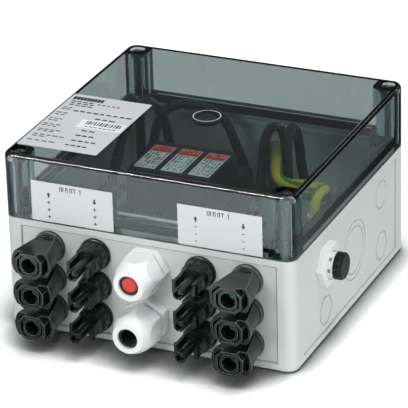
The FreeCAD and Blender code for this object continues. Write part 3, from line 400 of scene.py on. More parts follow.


# Materials

# each "edge" colour is partly wear and partly a painted highlight along the rounded edges; on the black
# pieces it is mostly painted highlight
mouldedLooks = {
    "case_grey": {"color": (0.615, 0.65, 0.625), "rough": 0.46, "grain": 2600.0, "depth": 0.00002,
                  "edge": (0.92, 0.94, 0.92), "wearAndSheen": 0.8, "dust": 0.05, "clouding": 0.03,
                  # painted shade: a darker colour for the faces inside the base and on its rim
                  "inside": {"halfX": 0.0879, "halfY": 0.0869, "floor": 0.003, "rim": 0.0704,
                             "fade": 0.003, "step": 0.0002, "color": (0.33, 0.37, 0.35)}},
    "seal_black": {"color": (0.012, 0.013, 0.013), "rough": 0.6, "grain": 5200.0, "depth": 0.00004,
                   "edge": (0.04, 0.04, 0.04), "wearAndSheen": 0.2, "dust": 0.05, "clouding": 0.1},
    "surge_black": {"color": (0.012, 0.013, 0.014), "rough": 0.35, "grain": 3600.0, "depth": 0.00002,
                    "edge": (0.09, 0.095, 0.10), "wearAndSheen": 0.5, "dust": 0.03, "clouding": 0.08},
    "latch_grey": {"color": (0.20, 0.21, 0.21), "rough": 0.4, "grain": 3600.0, "depth": 0.00001,
                   "edge": (0.35, 0.36, 0.36), "wearAndSheen": 0.4, "dust": 0.05, "clouding": 0.05},
    "marker_grey": {"color": (0.90, 0.92, 0.91), "rough": 0.4, "grain": 3600.0, "depth": 0.00001,
                    "edge": (0.95, 0.95, 0.95), "wearAndSheen": 0.3, "dust": 0.05, "clouding": 0.04},
    "connector_black": {"color": (0.006, 0.007, 0.0075), "rough": 0.26, "grain": 3000.0, "depth": 0.00002,
                        "edge": (0.80, 0.84, 0.84), "wearAndSheen": 1.0, "dust": 0.02, "clouding": 0.12,
                        "mirror": 0.4},
    "nut_black": {"color": (0.018, 0.019, 0.02), "rough": 0.38, "grain": 3000.0, "depth": 0.00002,
                  "edge": (0.10, 0.10, 0.10), "wearAndSheen": 0.4, "dust": 0.03, "clouding": 0.08},
    "gland_grey": {"color": (0.83, 0.85, 0.85), "rough": 0.24, "grain": 1500.0, "depth": 0.000008,
                   "edge": (0.86, 0.88, 0.88), "wearAndSheen": 0.3, "dust": 0.02, "clouding": 0.03},
    "plug_red": {"color": (0.66, 0.035, 0.02), "rough": 0.32, "grain": 2200.0, "depth": 0.00001,
                 "edge": (0.85, 0.25, 0.2), "wearAndSheen": 0.4, "dust": 0.03, "clouding": 0.06},
    "vent_black": {"color": (0.006, 0.0065, 0.007), "rough": 0.33, "grain": 3000.0, "depth": 0.00002,
                   "edge": (0.2, 0.21, 0.21), "wearAndSheen": 0.7, "dust": 0.04, "clouding": 0.1, "mirror": 0.3},
    "sleeve_pale": {"color": (0.68, 0.73, 0.68), "rough": 0.38, "grain": 2600.0, "depth": 0.00001,
                    "edge": (0.8, 0.83, 0.8), "wearAndSheen": 0.3, "dust": 0.03, "clouding": 0.05},
}


def insideShell(tree, look):
    # 1 on the faces that lie inside the base or on its rim, where a darker colour is painted as the shade
    # that the smoked lid keeps on them
    place = addNode(tree, "ShaderNodeSeparateXYZ", {"Vector": objectPlace(tree)}).outputs
    x = addMath(tree, "DIVIDE", addMath(tree, "ABSOLUTE", place["X"]), look["halfX"])
    y = addMath(tree, "DIVIDE", addMath(tree, "ABSOLUTE", place["Y"]), look["halfY"])
    within = addRange(tree, addMath(tree, "MAXIMUM", x, y), 1.0, 1.0 + look["fade"], 1.0, 0.0)
    above, rim = (addRange(tree, place["Z"], look[level], look[level] + look["step"], 0.0, 1.0)
                  for level in ("floor", "rim"))
    return addMath(tree, "MAXIMUM", addMath(tree, "MULTIPLY", within, above), rim)


def mouldedPlastic(name, look):
    material, tree, shader = startMaterial(name)
    shader.inputs["Specular IOR Level"].default_value = look.get("mirror", 0.5)
    surface = grainedSurface(tree, rgba(look["color"]), look["rough"], look["grain"], look["clouding"])
    # edges: wear and a painted highlight
    edged = placeGroup(tree, edgeWearAndSheen, {"Color": surface["Color"], "Edge Color": rgba(look["edge"]),
                                         "Amount": look["wearAndSheen"]})
    dusty = placeGroup(tree, settledDust, {"Color": edged["Color"], "Amount": look["dust"]})
    color = dusty["Color"]
    if "inside" in look:
        # faces inside the base and on its rim take a darker colour, painted shade under the smoked lid
        color = mixColor(tree, insideShell(tree, look["inside"]), color, rgba(look["inside"]["color"]))
    coatShader(tree, shader, color, surface["Roughness"], surface["Height"], look["depth"])
    return material


smokedLid = {"absorb": (0.10, 0.38, 0.39), "density": 92.0, "ior": 1.58, "rough": 0.008, "scuffs": 0.03,
             "waveDepth": 0.0000012, "waveScale": 40.0, "waveDetail": 1.0, "quiet": 0.15,
             "tintScale": 14.0, "tintDetail": 2.0, "tint": (0.97, 0.985, 0.98),
             "shadowTint": (0.97, 0.98, 0.98), "rimFrom": 0.67, "rimTo": 0.78, "rim": (0.02, 0.024, 0.024)}


def smokedPlastic(name, look):
    material, tree, shader = startMaterial(name, IOR=look["ior"])
    shader.inputs["Transmission Weight"].default_value = 1.0
    place = objectPlace(tree)
    tint = addNoise(tree, place, look["tintScale"], look["tintDetail"])
    tint = mixColor(tree, tint, rgba(look["tint"]), (1, 1, 1, 1))
    # long ways through the shell, at its outline, end dark
    facing = tree.nodes.new("ShaderNodeLayerWeight").outputs["Facing"]
    rim = addRange(tree, facing, look["rimFrom"], look["rimTo"], 0.0, 1.0)
    tint = mixColor(tree, rim, tint, rgba(look["rim"]))
    marks = placeGroup(tree, scuffMarks, {"Roughness": look["rough"], "Amount": look["scuffs"]})
    wave = addNoise(tree, place, look["waveScale"], look["waveDetail"])
    coatShader(tree, shader, tint, marks["Roughness"], wave, look["waveDepth"])
    # part of the surface only refracts, which holds the mirror of the studio down
    plain = addNode(tree, "ShaderNodeBsdfRefraction", {"Color": tint, "Roughness": 0.0, "IOR": look["ior"]})
    body = addNode(tree, "ShaderNodeMixShader", {0: look["quiet"], 1: shader, 2: plain})
    # light passes the shell without being bent, so that the inside is lit cleanly
    clear = addNode(tree, "ShaderNodeBsdfTransparent", {"Color": rgba(look["shadowTint"])})
    shadow = tree.nodes.new("ShaderNodeLightPath").outputs["Is Shadow Ray"]
    setOutput(tree, "Surface", addNode(tree, "ShaderNodeMixShader", {0: shadow, 1: body, 2: clear}))
    setOutput(tree, "Volume", addNode(tree, "ShaderNodeVolumeAbsorption", {
        "Color": rgba(look["absorb"]), "Density": look["density"]}))
    return material


metalLooks = {
    "lid_screw_steel": {"color": (0.25, 0.255, 0.255), "rings": 9000.0, "depth": 0.00001},
    "screw_steel": {"color": (0.66, 0.67, 0.66), "rings": 11000.0, "depth": 0.00001},
    "rail_zinc": {"color": (0.56, 0.58, 0.60), "rings": 0.0, "depth": 0.00001},
    "contact_tin": {"color": (0.70, 0.71, 0.70), "rings": 7000.0, "depth": 0.000006},
    # the socket contacts are tinted green: a painted green glint on tin
    "contact_painted_glint": {"color": (0.10, 0.62, 0.30), "rings": 7000.0, "depth": 0.000006},
    # the plug contacts are nearly black: painted shade on the tin pins inside the plug tubes
    "contact_painted_shade": {"color": (0.05, 0.052, 0.05), "rings": 7000.0, "depth": 0.000006},
}
metalSkin = {"rough": 0.3, "grain": 1800.0, "clouding": 0.15, "edge": (0.85, 0.85, 0.84), "wearAndSheen": 0.5}


def turnedMetal(name, look, skin=metalSkin):
    material, tree, shader = startMaterial(name, Metallic=1.0)
    rings = placeGroup(tree, turnedRings, {"Rings per Metre": look["rings"]})
    surface = grainedSurface(tree, rgba(look["color"]), skin["rough"], skin["grain"], skin["clouding"])
    edged = placeGroup(tree, edgeWearAndSheen, {"Color": surface["Color"], "Edge Color": rgba(skin["edge"]),
                                         "Amount": skin["wearAndSheen"]})
    height = rings["Height"] if look["rings"] else surface["Height"]
    coatShader(tree, shader, edged["Color"], rings["Roughness"], height, look["depth"])
    return material


filmLooks = {
    "label_white": {"color": (0.66, 0.68, 0.69), "rough": 0.36, "fibre": 900.0, "depth": 0.000004},
    "plate_silver": {"color": (0.64, 0.655, 0.68), "rough": 0.34, "fibre": 900.0, "depth": 0.000004},
    "surge_label": {"color": (0.88, 0.90, 0.89), "rough": 0.34, "fibre": 1400.0, "depth": 0.000004},
    "ink_black": {"color": (0.012, 0.012, 0.014), "rough": 0.45, "fibre": 2500.0, "depth": 0.000003},
    "ink_red": {"color": (0.78, 0.045, 0.035), "rough": 0.42, "fibre": 2500.0, "depth": 0.000003},
    "paper_white": {"color": (0.86, 0.87, 0.88), "rough": 0.4, "fibre": 1200.0, "depth": 0.000003},
}
filmSkin = {"clouding": 0.05, "dust": 0.04}


def printedFilm(name, look, skin=filmSkin):
    material, tree, shader = startMaterial(name)
    surface = grainedSurface(tree, rgba(look["color"]), look["rough"], look["fibre"], skin["clouding"])
    dusty = placeGroup(tree, settledDust, {"Color": surface["Color"], "Amount": skin["dust"]})
    coatShader(tree, shader, dusty["Color"], surface["Roughness"], surface["Height"], look["depth"])
    return material


sheathLooks = {
    "cable_black": {"color": (0.012, 0.013, 0.014), "rough": 0.27, "stripe": None},
    "cable_earth": {"color": (0.52, 0.46, 0.018), "rough": 0.3, "stripe": (0.03, 0.20, 0.035),
                    # painted shade on the earth lead's first run, between the black cables
                    "paintedShade": (0.10, 0.095, 0.02), "paintedShadeUntil": 0.236},
}
sheathSkin = {"stripeFrom": 0.88, "stripeTo": 0.93, "paintedShadeFade": 0.016, "grain": 1600.0, "clouding": 0.1,
              "dustColor": (0.3, 0.3, 0.3), "dust": 0.06, "rubScale": 140.0, "rubDetail": 3.0, "rubFrom": 0.3,
              "rubTo": 0.7, "rubBright": -0.06, "rubDull": 0.08, "depth": 0.00001}


def cableSheath(name, look, skin=sheathSkin):
    # "section" holds the direction from the cable's middle, "along" the distance from its first end
    material, tree, shader = startMaterial(name)
    color = rgba(look["color"])
    if look["stripe"]:
        side = addMath(tree, "ABSOLUTE", axisOf(tree, attributeOf(tree, "section", "Vector"), "X"))
        mask = addRange(tree, side, skin["stripeFrom"], skin["stripeTo"], 0.0, 1.0)
        color = mixColor(tree, mask, color, rgba(look["stripe"]))
    along = attributeOf(tree, "along")
    # the earth lead's first run, between the black cables, is painted darker as shade
    if "paintedShade" in look:
        unshaded = addRange(tree, along, look["paintedShadeUntil"] - skin["paintedShadeFade"], look["paintedShadeUntil"], 0.0, 1.0)
        color = mixColor(tree, unshaded, rgba(look["paintedShade"]), color)
    surface = grainedSurface(tree, color, look["rough"], skin["grain"], skin["clouding"])
    rub = addNode(tree, "ShaderNodeTexNoise", {"W": along, "Scale": skin["rubScale"],
                                               "Detail": skin["rubDetail"]}, noise_dimensions="1D")
    rub = addRange(tree, rub, skin["rubFrom"], skin["rubTo"], skin["rubBright"], skin["rubDull"])
    dusty = placeGroup(tree, settledDust, {"Color": surface["Color"], "Dust Color": rgba(skin["dustColor"]),
                                           "Amount": skin["dust"]})
    rough = addMath(tree, "ADD", surface["Roughness"], rub)
    coatShader(tree, shader, dusty["Color"], rough, surface["Height"], skin["depth"])
    return material


materials = {"lid_smoke": smokedPlastic("lid_smoke", smokedLid)}
for make, looks in ((mouldedPlastic, mouldedLooks), (turnedMetal, metalLooks), (printedFilm, filmLooks),
                    (cableSheath, sheathLooks)):
    materials.update({name: make(name, look) for name, look in looks.items()})
print("materials built:", len(materials))


# Finished copies of the moulded and turned pieces: edges rounded, faces smoothed

finishing = {
    "merge": 0.000001, "flat": math.radians(0.6), "sharp": math.radians(28), "smooth": math.radians(32),
    "segments": 2, "profile": 0.5, "flatWeight": 60,
    "bevel": {"case_grey": 0.35, "lid_smoke": 0.3, "connector_black": 0.28, "gland_grey": 0.35,
              "surge_black": 0.2, "nut_black": 0.25, "vent_black": 0.15, "plug_red": 0.2, "marker_grey": 0.15,
              "latch_grey": 0.15, "rail_zinc": 0.1, "lid_screw_steel": 0.12, "screw_steel": 0.12,
              "seal_black": 0.2},
}


def islandsOf(bm):
    unseen = set(bm.verts)
    islands = []
    while unseen:
        start = unseen.pop()
        island = [start]
        front = [start]
        while front:
            vert = front.pop()
            for edge in vert.link_edges:
                other = edge.other_vert(vert)
                if other in unseen:
                    unseen.remove(other)
                    island.append(other)
                    front.append(other)
        islands.append(island)
    return islands


def bakedMesh(host, name):
    bpy.context.view_layer.update()
    grown = host.evaluated_get(bpy.context.evaluated_depsgraph_get())
    mesh = bpy.data.meshes.new_from_object(grown)
    mesh.name = name
    host.modifiers.clear()
    bpy.data.objects.remove(host)
    return mesh


def finishedMesh(node, width):
    bm = bmesh.new()
    bm.from_mesh(frame["nodes"][node].data)
    bmesh.ops.remove_doubles(bm, verts=bm.verts, dist=finishing["merge"])
    bmesh.ops.dissolve_limit(bm, angle_limit=finishing["flat"], verts=bm.verts, edges=bm.edges)
    rounded = set()
    if width:
        sharp = [e for e in bm.edges if e.is_manifold and e.calc_face_angle(0) > finishing["sharp"]]
        rounding = bmesh.ops.bevel(bm, geom=sharp, offset=width, offset_type="OFFSET",
                                   segments=finishing["segments"], profile=finishing["profile"],
                                   affect="EDGES", clamp_overlap=True)
        rounded = set(rounding["faces"])
    edge = bm.verts.layers.float.new("edge")
    distance = bm.verts.layers.float.new("axisDistance")
    for vert in bm.verts:
        # only the ridge of a rounding takes the worn edge colour and its painted highlight, so that the flats
        # keep their own colour
        vert[edge] = float(all(face in rounded for face in vert.link_faces))
    for island in islandsOf(bm):
        xs, ys, zs = ([vert.co[k] for vert in island] for k in range(3))
        middle = Vector(((min(xs) + max(xs)) / 2, (min(ys) + max(ys)) / 2, (min(zs) + max(zs)) / 2))
        spans = [max(axis) - min(axis) for axis in (xs, ys, zs)]
        longest = spans.index(max(spans))
        for vert in island:
            across = vert.co - middle
            across[longest] = 0
            vert[distance] = across.length
    mesh = meshFrom(bm, node + "_mesh")
    mesh.shade_smooth()
    mesh.set_sharp_from_angle(angle=finishing["smooth"])
    host = addObject(node + "_host", mesh)
    weighted = host.modifiers.new("flatFaces", "WEIGHTED_NORMAL")
    weighted.keep_sharp = True
    weighted.weight = finishing["flatWeight"]
    return bakedMesh(host, node + "_mesh")


def showPiece(name, mesh, body, slot, *nodes, look=None):
    # a piece wears its slot's material, or a look of its own
    piece = addObject(name, mesh)
    mesh.materials.clear()
    mesh.materials.append(materials[look or slot])
    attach(piece, body)
    if nodes:
        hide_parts(*nodes)


ropeSlots = ("cable_black", "cable_earth")
ownLooks = {"plug_contacts": "contact_painted_shade", "socket_contacts": "contact_painted_glint", "name_plate": "plate_silver",
            "vent_body": "sleeve_pale"}
plateFilm = {"thinned": 0.05, "reach": 0.1}  # the plate's top sinks by what its print adds
for node, slot in slotOfNode.items():
    if slot in ropeSlots:
        continue
    mesh = finishedMesh(node, finishing["bevel"].get(slot, 0) * mm)
    if node == "name_plate":
        top = max(vert.co.z for vert in mesh.vertices)
        for vert in mesh.vertices:
            if top - vert.co.z < plateFilm["reach"] * mm:
                vert.co.z -= plateFilm["thinned"] * mm
    showPiece(node + "_finished", mesh, bodyOfNode[node], slot, node, look=ownLooks.get(node))
print("finished copies made")


# Geometry Nodes: sheaths, threads and print

def startGeometry(name, inputs):
    tree = bpy.data.node_groups.new(name, "GeometryNodeTree")
    tree.interface.new_socket("Geometry", in_out="INPUT", socket_type="NodeSocketGeometry")
    for label, kind in inputs:
        tree.interface.new_socket(label, in_out="INPUT", socket_type="NodeSocket" + kind)
    tree.interface.new_socket("Geometry", in_out="OUTPUT", socket_type="NodeSocketGeometry")
    return tree, tree.nodes.new("NodeGroupInput").outputs, tree.nodes.new("NodeGroupOutput").inputs


def endGeometry(tree, geometry, material, out):
    real = addNode(tree, "GeometryNodeRealizeInstances", {"Geometry": geometry})
    colored = addNode(tree, "GeometryNodeSetMaterial", {"Geometry": real, "Material": material})
    tree.links.new(colored.outputs[0], out["Geometry"])


def growMesh(name, data, tree, values):
    host = addObject(name, data)
    modifier = host.modifiers.new("grow", "NODES")
    modifier.node_group = tree
    sockets = {item.name: item.identifier for item in tree.interface.items_tree
               if item.item_type == "SOCKET" and item.in_out == "INPUT"}
    for label, value in values.items():
        modifier[sockets[label]] = value
    return bakedMesh(host, name)


def storeOnPoints(tree, geometry, name, value, kind):
    return addNode(tree, "GeometryNodeStoreNamedAttribute", {
        "Geometry": geometry, "Name": name, "Value": value}, data_type=kind, domain="POINT")


def sweepSmooth(tree, curve, profile):
    skin = addNode(tree, "GeometryNodeCurveToMesh", {"Curve": curve, "Profile Curve": profile,
                                                     "Fill Caps": True})
    return addNode(tree, "GeometryNodeSetShadeSmooth", {"Geometry": skin})


def sheathTree():
    tree, given, out = startGeometry("cableSheath", [
        ("Radius", "Float"), ("Sides", "Int"), ("Step", "Float"), ("Turns", "Float"),
        ("Material", "Material")])
    route = addNode(tree, "GeometryNodeResampleCurve", {"Curve": given["Geometry"], "Length": given["Step"]},
                    mode="LENGTH")
    share = addNode(tree, "GeometryNodeSplineParameter").outputs
    twist = addMath(tree, "MULTIPLY", share["Factor"], given["Turns"])
    angle = addMath(tree, "MULTIPLY", twist, math.tau)
    tilted = addNode(tree, "GeometryNodeSetCurveTilt", {"Curve": route, "Tilt": angle})
    along = storeOnPoints(tree, tilted, "along", share["Length"], "FLOAT")
    circle = addNode(tree, "GeometryNodeCurvePrimitiveCircle", {"Resolution": given["Sides"], "Radius": 1.0})
    where = addNode(tree, "GeometryNodeInputPosition")
    section = storeOnPoints(tree, circle, "section", where, "FLOAT_VECTOR")
    size = addNode(tree, "ShaderNodeCombineXYZ", {"X": given["Radius"], "Y": given["Radius"], "Z": 1.0})
    sized = addNode(tree, "GeometryNodeTransform", {"Geometry": section, "Scale": size})
    endGeometry(tree, sweepSmooth(tree, along, sized), given["Material"], out)
    return tree


def threadTree():
    tree, given, out = startGeometry("screwThread", [
        ("Radius", "Float"), ("Turns", "Float"), ("Length", "Float"), ("Steps per Turn", "Int"),
        ("Ridge", "Float"), ("Ridge Sides", "Int"), ("Material", "Material")])
    spiral = addNode(tree, "GeometryNodeCurveSpiral", {
        "Resolution": given["Steps per Turn"], "Rotations": given["Turns"], "Start Radius": given["Radius"],
        "End Radius": given["Radius"], "Height": given["Length"]})
    steady = addNode(tree, "GeometryNodeSetCurveNormal", {"Curve": spiral}, mode="Z_UP")
    ridge = addNode(tree, "GeometryNodeCurvePrimitiveCircle", {"Resolution": given["Ridge Sides"],
                                                               "Radius": given["Ridge"]})
    endGeometry(tree, sweepSmooth(tree, steady, ridge), given["Material"], out)
    return tree


def printTree():
    tree, given, out = startGeometry("printedRows", [
        ("Width", "Float"), ("Height", "Float"), ("Columns", "Int"), ("Rows", "Int"), ("Bar Length", "Float"),
        ("Bar Height", "Float"), ("Shortest", "Float"), ("Fill", "Float"), ("Thickness", "Float"),
        ("Seed", "Int"), ("Material", "Material")])
    grid = addNode(tree, "GeometryNodeMeshGrid", {
        "Size X": given["Width"], "Size Y": given["Height"], "Vertices X": given["Columns"],
        "Vertices Y": given["Rows"]})
    points = addNode(tree, "GeometryNodeMeshToPoints", {"Mesh": grid})
    bare = addMath(tree, "SUBTRACT", 1.0, given["Fill"])
    chance = addNode(tree, "FunctionNodeRandomValue", {"Probability": bare, "Seed": given["Seed"]},
                     data_type="BOOLEAN")
    kept = addNode(tree, "GeometryNodeDeleteGeometry", {"Geometry": points, "Selection": chance.outputs[3]},
                   domain="POINT")
    barSize = addNode(tree, "ShaderNodeCombineXYZ", {"X": given["Bar Length"], "Y": given["Bar Height"],
                                                     "Z": given["Thickness"]})
    bar = addNode(tree, "GeometryNodeMeshCube", {"Size": barSize})
    length = addNode(tree, "FunctionNodeRandomValue", {2: given["Shortest"], 3: 1.0, "Seed": given["Seed"]},
                     data_type="FLOAT")
    scale = addNode(tree, "ShaderNodeCombineXYZ", {"X": length.outputs[1], "Y": 1.0, "Z": 1.0})
    bars = addNode(tree, "GeometryNodeInstanceOnPoints", {"Points": kept, "Instance": bar, "Scale": scale})
    endGeometry(tree, bars, given["Material"], out)
    return tree


sheath = sheathTree()
thread = threadTree()
printed = printTree()


# Wiring: each cable follows a smooth curve led by its route's points, in millimetres

wiring = {
    "diameter": 6.0, "earthDiameter": 6.4, "sides": 28, "step": 1.6, "earthTurns": 3.5,
    "routes": {
        "cable_plus_outer": [
            (-62.2, -71, 55.5), (-62.5, -45, 56), (-64, -2, 58), (-64, 13, 71), (-64, 16, 92),
            (-63.5, 29, 102), (-63.5, 41, 88), (-64, 42, 60), (-64, 43, 34), (-64.5, 28, 21.5),
            (-64.5, -8, 21.5), (-63, -45, 18.5), (-62.2, -71, 15.5)],
        "cable_plus_inner": [
            (-33.1, -71, 55.5), (-37, -53, 60), (-50, -32, 70), (-53, -8, 90), (-53, 18, 103),
            (-51, 42, 92), (-50, 55, 64), (-51, 55, 34), (-53, 32, 21.5), (-52, -8, 21.5), (-45, -46, 19),
            (-33.1, -71, 15.5)],
        "cable_arch": [
            (-62.2, -71, 35.5), (-66, -48, 35.5), (-74, -10, 36), (-74, 32, 37), (-72, 56, 41),
            (-67, 66, 51), (-64.5, 66, 66), (-55.5, 65, 81.5), (-33, 63, 86), (-15.5, 62, 80),
            (-10, 63, 64), (-5, 67, 47), (-1.4, 64, 31.5), (-1.4, 48, 27)],
        "cable_minus_inner": [
            (33.1, -71, 55.5), (33.3, -48, 55.5), (33.5, -10, 57), (33.7, 2, 73), (34, 4, 95),
            (34.3, 17, 102), (34.5, 36, 90), (34.8, 39, 62), (36, 40, 33), (37, 28, 21.5),
            (35.5, -10, 21.3), (34, -45, 18), (33.1, -71, 15.5)],
        "cable_minus_outer": [
            (62.2, -71, 55.5), (61.5, -46, 56.5), (56, -13, 61), (51.8, -1, 76), (50.3, 0.5, 97),
            (48.7, 13.5, 106), (48, 25, 93), (48.3, 29, 65), (56, 36, 36), (64, 27, 21.5), (67.5, -8, 21.8),
            (65, -45, 18.5), (62.2, -71, 15.5)],
        "cable_wall": [
            (62.2, -71, 35.5), (66, -48, 35.5), (75, -10, 36), (75, 30, 36.5), (70, 56, 36), (55, 71, 35),
            (34, 74, 33), (8, 74, 31), (-10, 71, 29), (-18, 62, 27.5), (-19.1, 48, 27)],
    },
    "leads": {
        "lead_plus": [
            (-33.1, -71, 35.5), (-33.5, -60, 34), (-36.8, -51, 28), (-36.8, -38, 27)],
        "lead_minus": [
            (33.1, -71, 35.5), (31, -58.5, 33.5), (17, -52.5, 30), (2, -52, 27.5), (-1.4, -38, 27)],
    },
    "earth": [
        (-36.8, 48, 27), (-36.8, 59, 26), (-33, 68, 16), (-18, 70, 11.5), (10, 69, 11.5), (32, 64, 12),
        (44, 50, 13.5), (45.5, 31, 18), (38.5, 20, 42), (34.5, 15.5, 66), (34.2, 15, 82), (39.5, 9.5, 94),
        (47.6, -9, 93), (49.5, -14.5, 82.5), (59, -17.5, 80.8), (68, -15, 81.3), (75.8, -13.8, 83),
        (80.3, -20, 85.5), (80.3, -26.5, 87.3), (78.3, -32, 82.5), (78.3, -32, 74)],
}


def routeCurve(name, points):
    curve = bpy.data.curves.new(name, "CURVE")
    curve.dimensions = "3D"
    curve.resolution_u = 10
    spline = curve.splines.new("NURBS")
    spline.points.add(len(points) - 1)
    for point, place in zip(spline.points, points):
        point.co = (place[0] * mm, place[1] * mm, place[2] * mm, 1)
    spline.order_u = 3
    spline.use_endpoint_u = True
    return curve


def sheathMesh(name, points, diameter=wiring["diameter"], turns=0.0, look="cable_black"):
    return growMesh(name + "_mesh", routeCurve(name + "_route", points), sheath, {
        "Radius": diameter * mm / 2, "Sides": wiring["sides"], "Step": wiring["step"] * mm, "Turns": turns,
        "Material": materials[look]})


def joinMeshes(name, meshes):
    bm = bmesh.new()
    for mesh in meshes:
        bm.from_mesh(mesh)
    return meshFrom(bm, name)


for name, points in wiring["routes"].items():
    showPiece(name + "_sheath", sheathMesh(name, points), "case", "cable_black", name)
leads = [sheathMesh(name, points) for name, points in wiring["leads"].items()]
showPiece("surge_leads_sheath", joinMeshes("surge_leads_mesh", leads), "case", "cable_black", "surge_leads")
mesh = sheathMesh("earth_lead", wiring["earth"], wiring["earthDiameter"], wiring["earthTurns"], "cable_earth")
showPiece("earth_lead_sheath", mesh, "case", "cable_earth", "earth_lead")
print("wiring laid")


# Threads where they show: on the connectors and glands inside the case

threads = {
    "pitch": 1.5, "ridge": 0.42, "ridgeSides": 6, "sink": 0.22, "stepsPerTurn": 48,
    "connectorRadius": 7.0, "behindNut": 0.4, "endCollar": 6.0,
    "glandRadius": 10.0, "glandStart": -83.0, "glandEnd": 0.6,
}


def threadMesh(name, radius, length, place, look):
    mesh = growMesh(name, bpy.data.meshes.new(name), thread, {
        "Radius": (radius - threads["sink"]) * mm, "Turns": length / threads["pitch"], "Length": length * mm,
        "Steps per Turn": threads["stepsPerTurn"], "Ridge": threads["ridge"] * mm,
        "Ridge Sides": threads["ridgeSides"], "Material": materials[look]})
    towardBack = Matrix.Rotation(math.radians(-90), 4, "X")  # local Z along +Y
    mesh.transform(Matrix.Translation(Vector(place) * mm) @ towardBack)
    return mesh


def nodeMiddle(node):
    low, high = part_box(node)
    return (low + high) / 2


def caseThreads(look):
    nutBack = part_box("connector_lock_nuts")[1].y / mm
    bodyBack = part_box("input_plus_1")[1].y / mm
    length = bodyBack - look["endCollar"] - nutBack - 2 * look["behindNut"]
    small = []
    for column in ("input_plus", "output_plus", "input_minus", "output_minus"):
        for row in (1, 2, 3):
            node = column + "_" + str(row)
            middle = nodeMiddle(node) / mm
            start = (middle.x, nutBack + look["behindNut"], middle.z)
            small.append(threadMesh(node + "_thread", look["connectorRadius"], length, start,
                                    "connector_black"))
    showPiece("connector_threads", joinMeshes("connector_threads_mesh", small), "case", "connector_black")
    large = []
    for which in ("upper", "lower"):
        body = "gland_body_" + which
        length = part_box(body)[1].y / mm - look["glandStart"] - look["glandEnd"]
        start = (0, look["glandStart"], nodeMiddle(body).z / mm)
        large.append(threadMesh("gland_thread_" + which, look["glandRadius"], length, start, "gland_grey"))
    showPiece("gland_threads", joinMeshes("gland_threads_mesh", large), "case", "gland_grey")


caseThreads(threads)
print("threads cut")


# Print: rows of plain bars, a heading bar, signs and arrows

ink = {"thickness": 0.03, "lift": 0.012}


def barMesh(name, width, height):
    bm = bmesh.new()
    size = (width * mm, height * mm, ink["thickness"] * mm, 1)
    bmesh.ops.create_cube(bm, size=1.0, matrix=Matrix.Diagonal(size))
    return meshFrom(bm, name)


def outlineMesh(name, points):
    bm = bmesh.new()
    low = [bm.verts.new((x * mm, y * mm, -ink["thickness"] * mm / 2)) for x, y in points]
    high = [bm.verts.new((x * mm, y * mm, ink["thickness"] * mm / 2)) for x, y in points]
    bm.faces.new(list(reversed(low)))
    bm.faces.new(high)
    for k in range(len(points)):
        after = (k + 1) % len(points)
        bm.faces.new((low[k], low[after], high[after], high[k]))
    return meshFrom(bm, name)


def barAt(name, bar):
    x, y, width, height = bar
    return laid(barMesh(name, width, height), x, y)


def rowsMesh(name, block, seed):
    return growMesh(name, bpy.data.meshes.new(name), printed, {
        "Width": block["width"] * mm, "Height": block["height"] * mm, "Columns": block["columns"],
        "Rows": block["rows"], "Bar Length": block["bar"] * mm, "Bar Height": block["thick"] * mm,
        "Shortest": block["shortest"], "Fill": block["fill"],
        "Thickness": ink["thickness"] * mm, "Seed": seed, "Material": materials["ink_black"]})


def ringMesh(name, inner, outer, steps):
    turns = [math.tau * k / steps for k in range(steps)]
    bm = bmesh.new()
    for z, up in ((-1, False), (1, True)):
        rings = [[bm.verts.new((math.cos(t) * r * mm, math.sin(t) * r * mm, z * ink["thickness"] * mm / 2))
                  for t in turns] for r in (inner, outer)]
        for k in range(steps):
            after = (k + 1) % steps
            corners = [rings[0][k], rings[1][k], rings[1][after], rings[0][after]]
            bm.faces.new(corners if up else corners[::-1])
    return meshFrom(bm, name)


def laid(mesh, x, y):
    mesh.transform(Matrix.Translation((x * mm, y * mm, 0)))
    return mesh


def barRow(name, row):
    # bars side by side, of their own widths or as wide as the gaps between them leave
    step = (row["right"] - row["left"]) / row["count"]
    widths = row["widths"] if "widths" in row else [step - row["gap"]]
    bars = [barMesh(name, widths[k % len(widths)], row["height"]) for k in range(row["count"])]
    return [laid(bar, row["left"] + step * (k + 0.5), row["y"]) for k, bar in enumerate(bars)]


def onTop(node, layers, sunk=0.0):
    # over a node's top, so many layers of ink up
    middle, top = nodeMiddle(node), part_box(node)[1].z - sunk * mm
    return Matrix.Translation((middle.x, middle.y, top + layers * ink["lift"] * mm))


def placePrint(name, meshes, place, body, slot, look):
    joined = joinMeshes(name + "_mesh", meshes)
    joined.transform(place)
    showPiece(name, joined, body, slot, look=look)


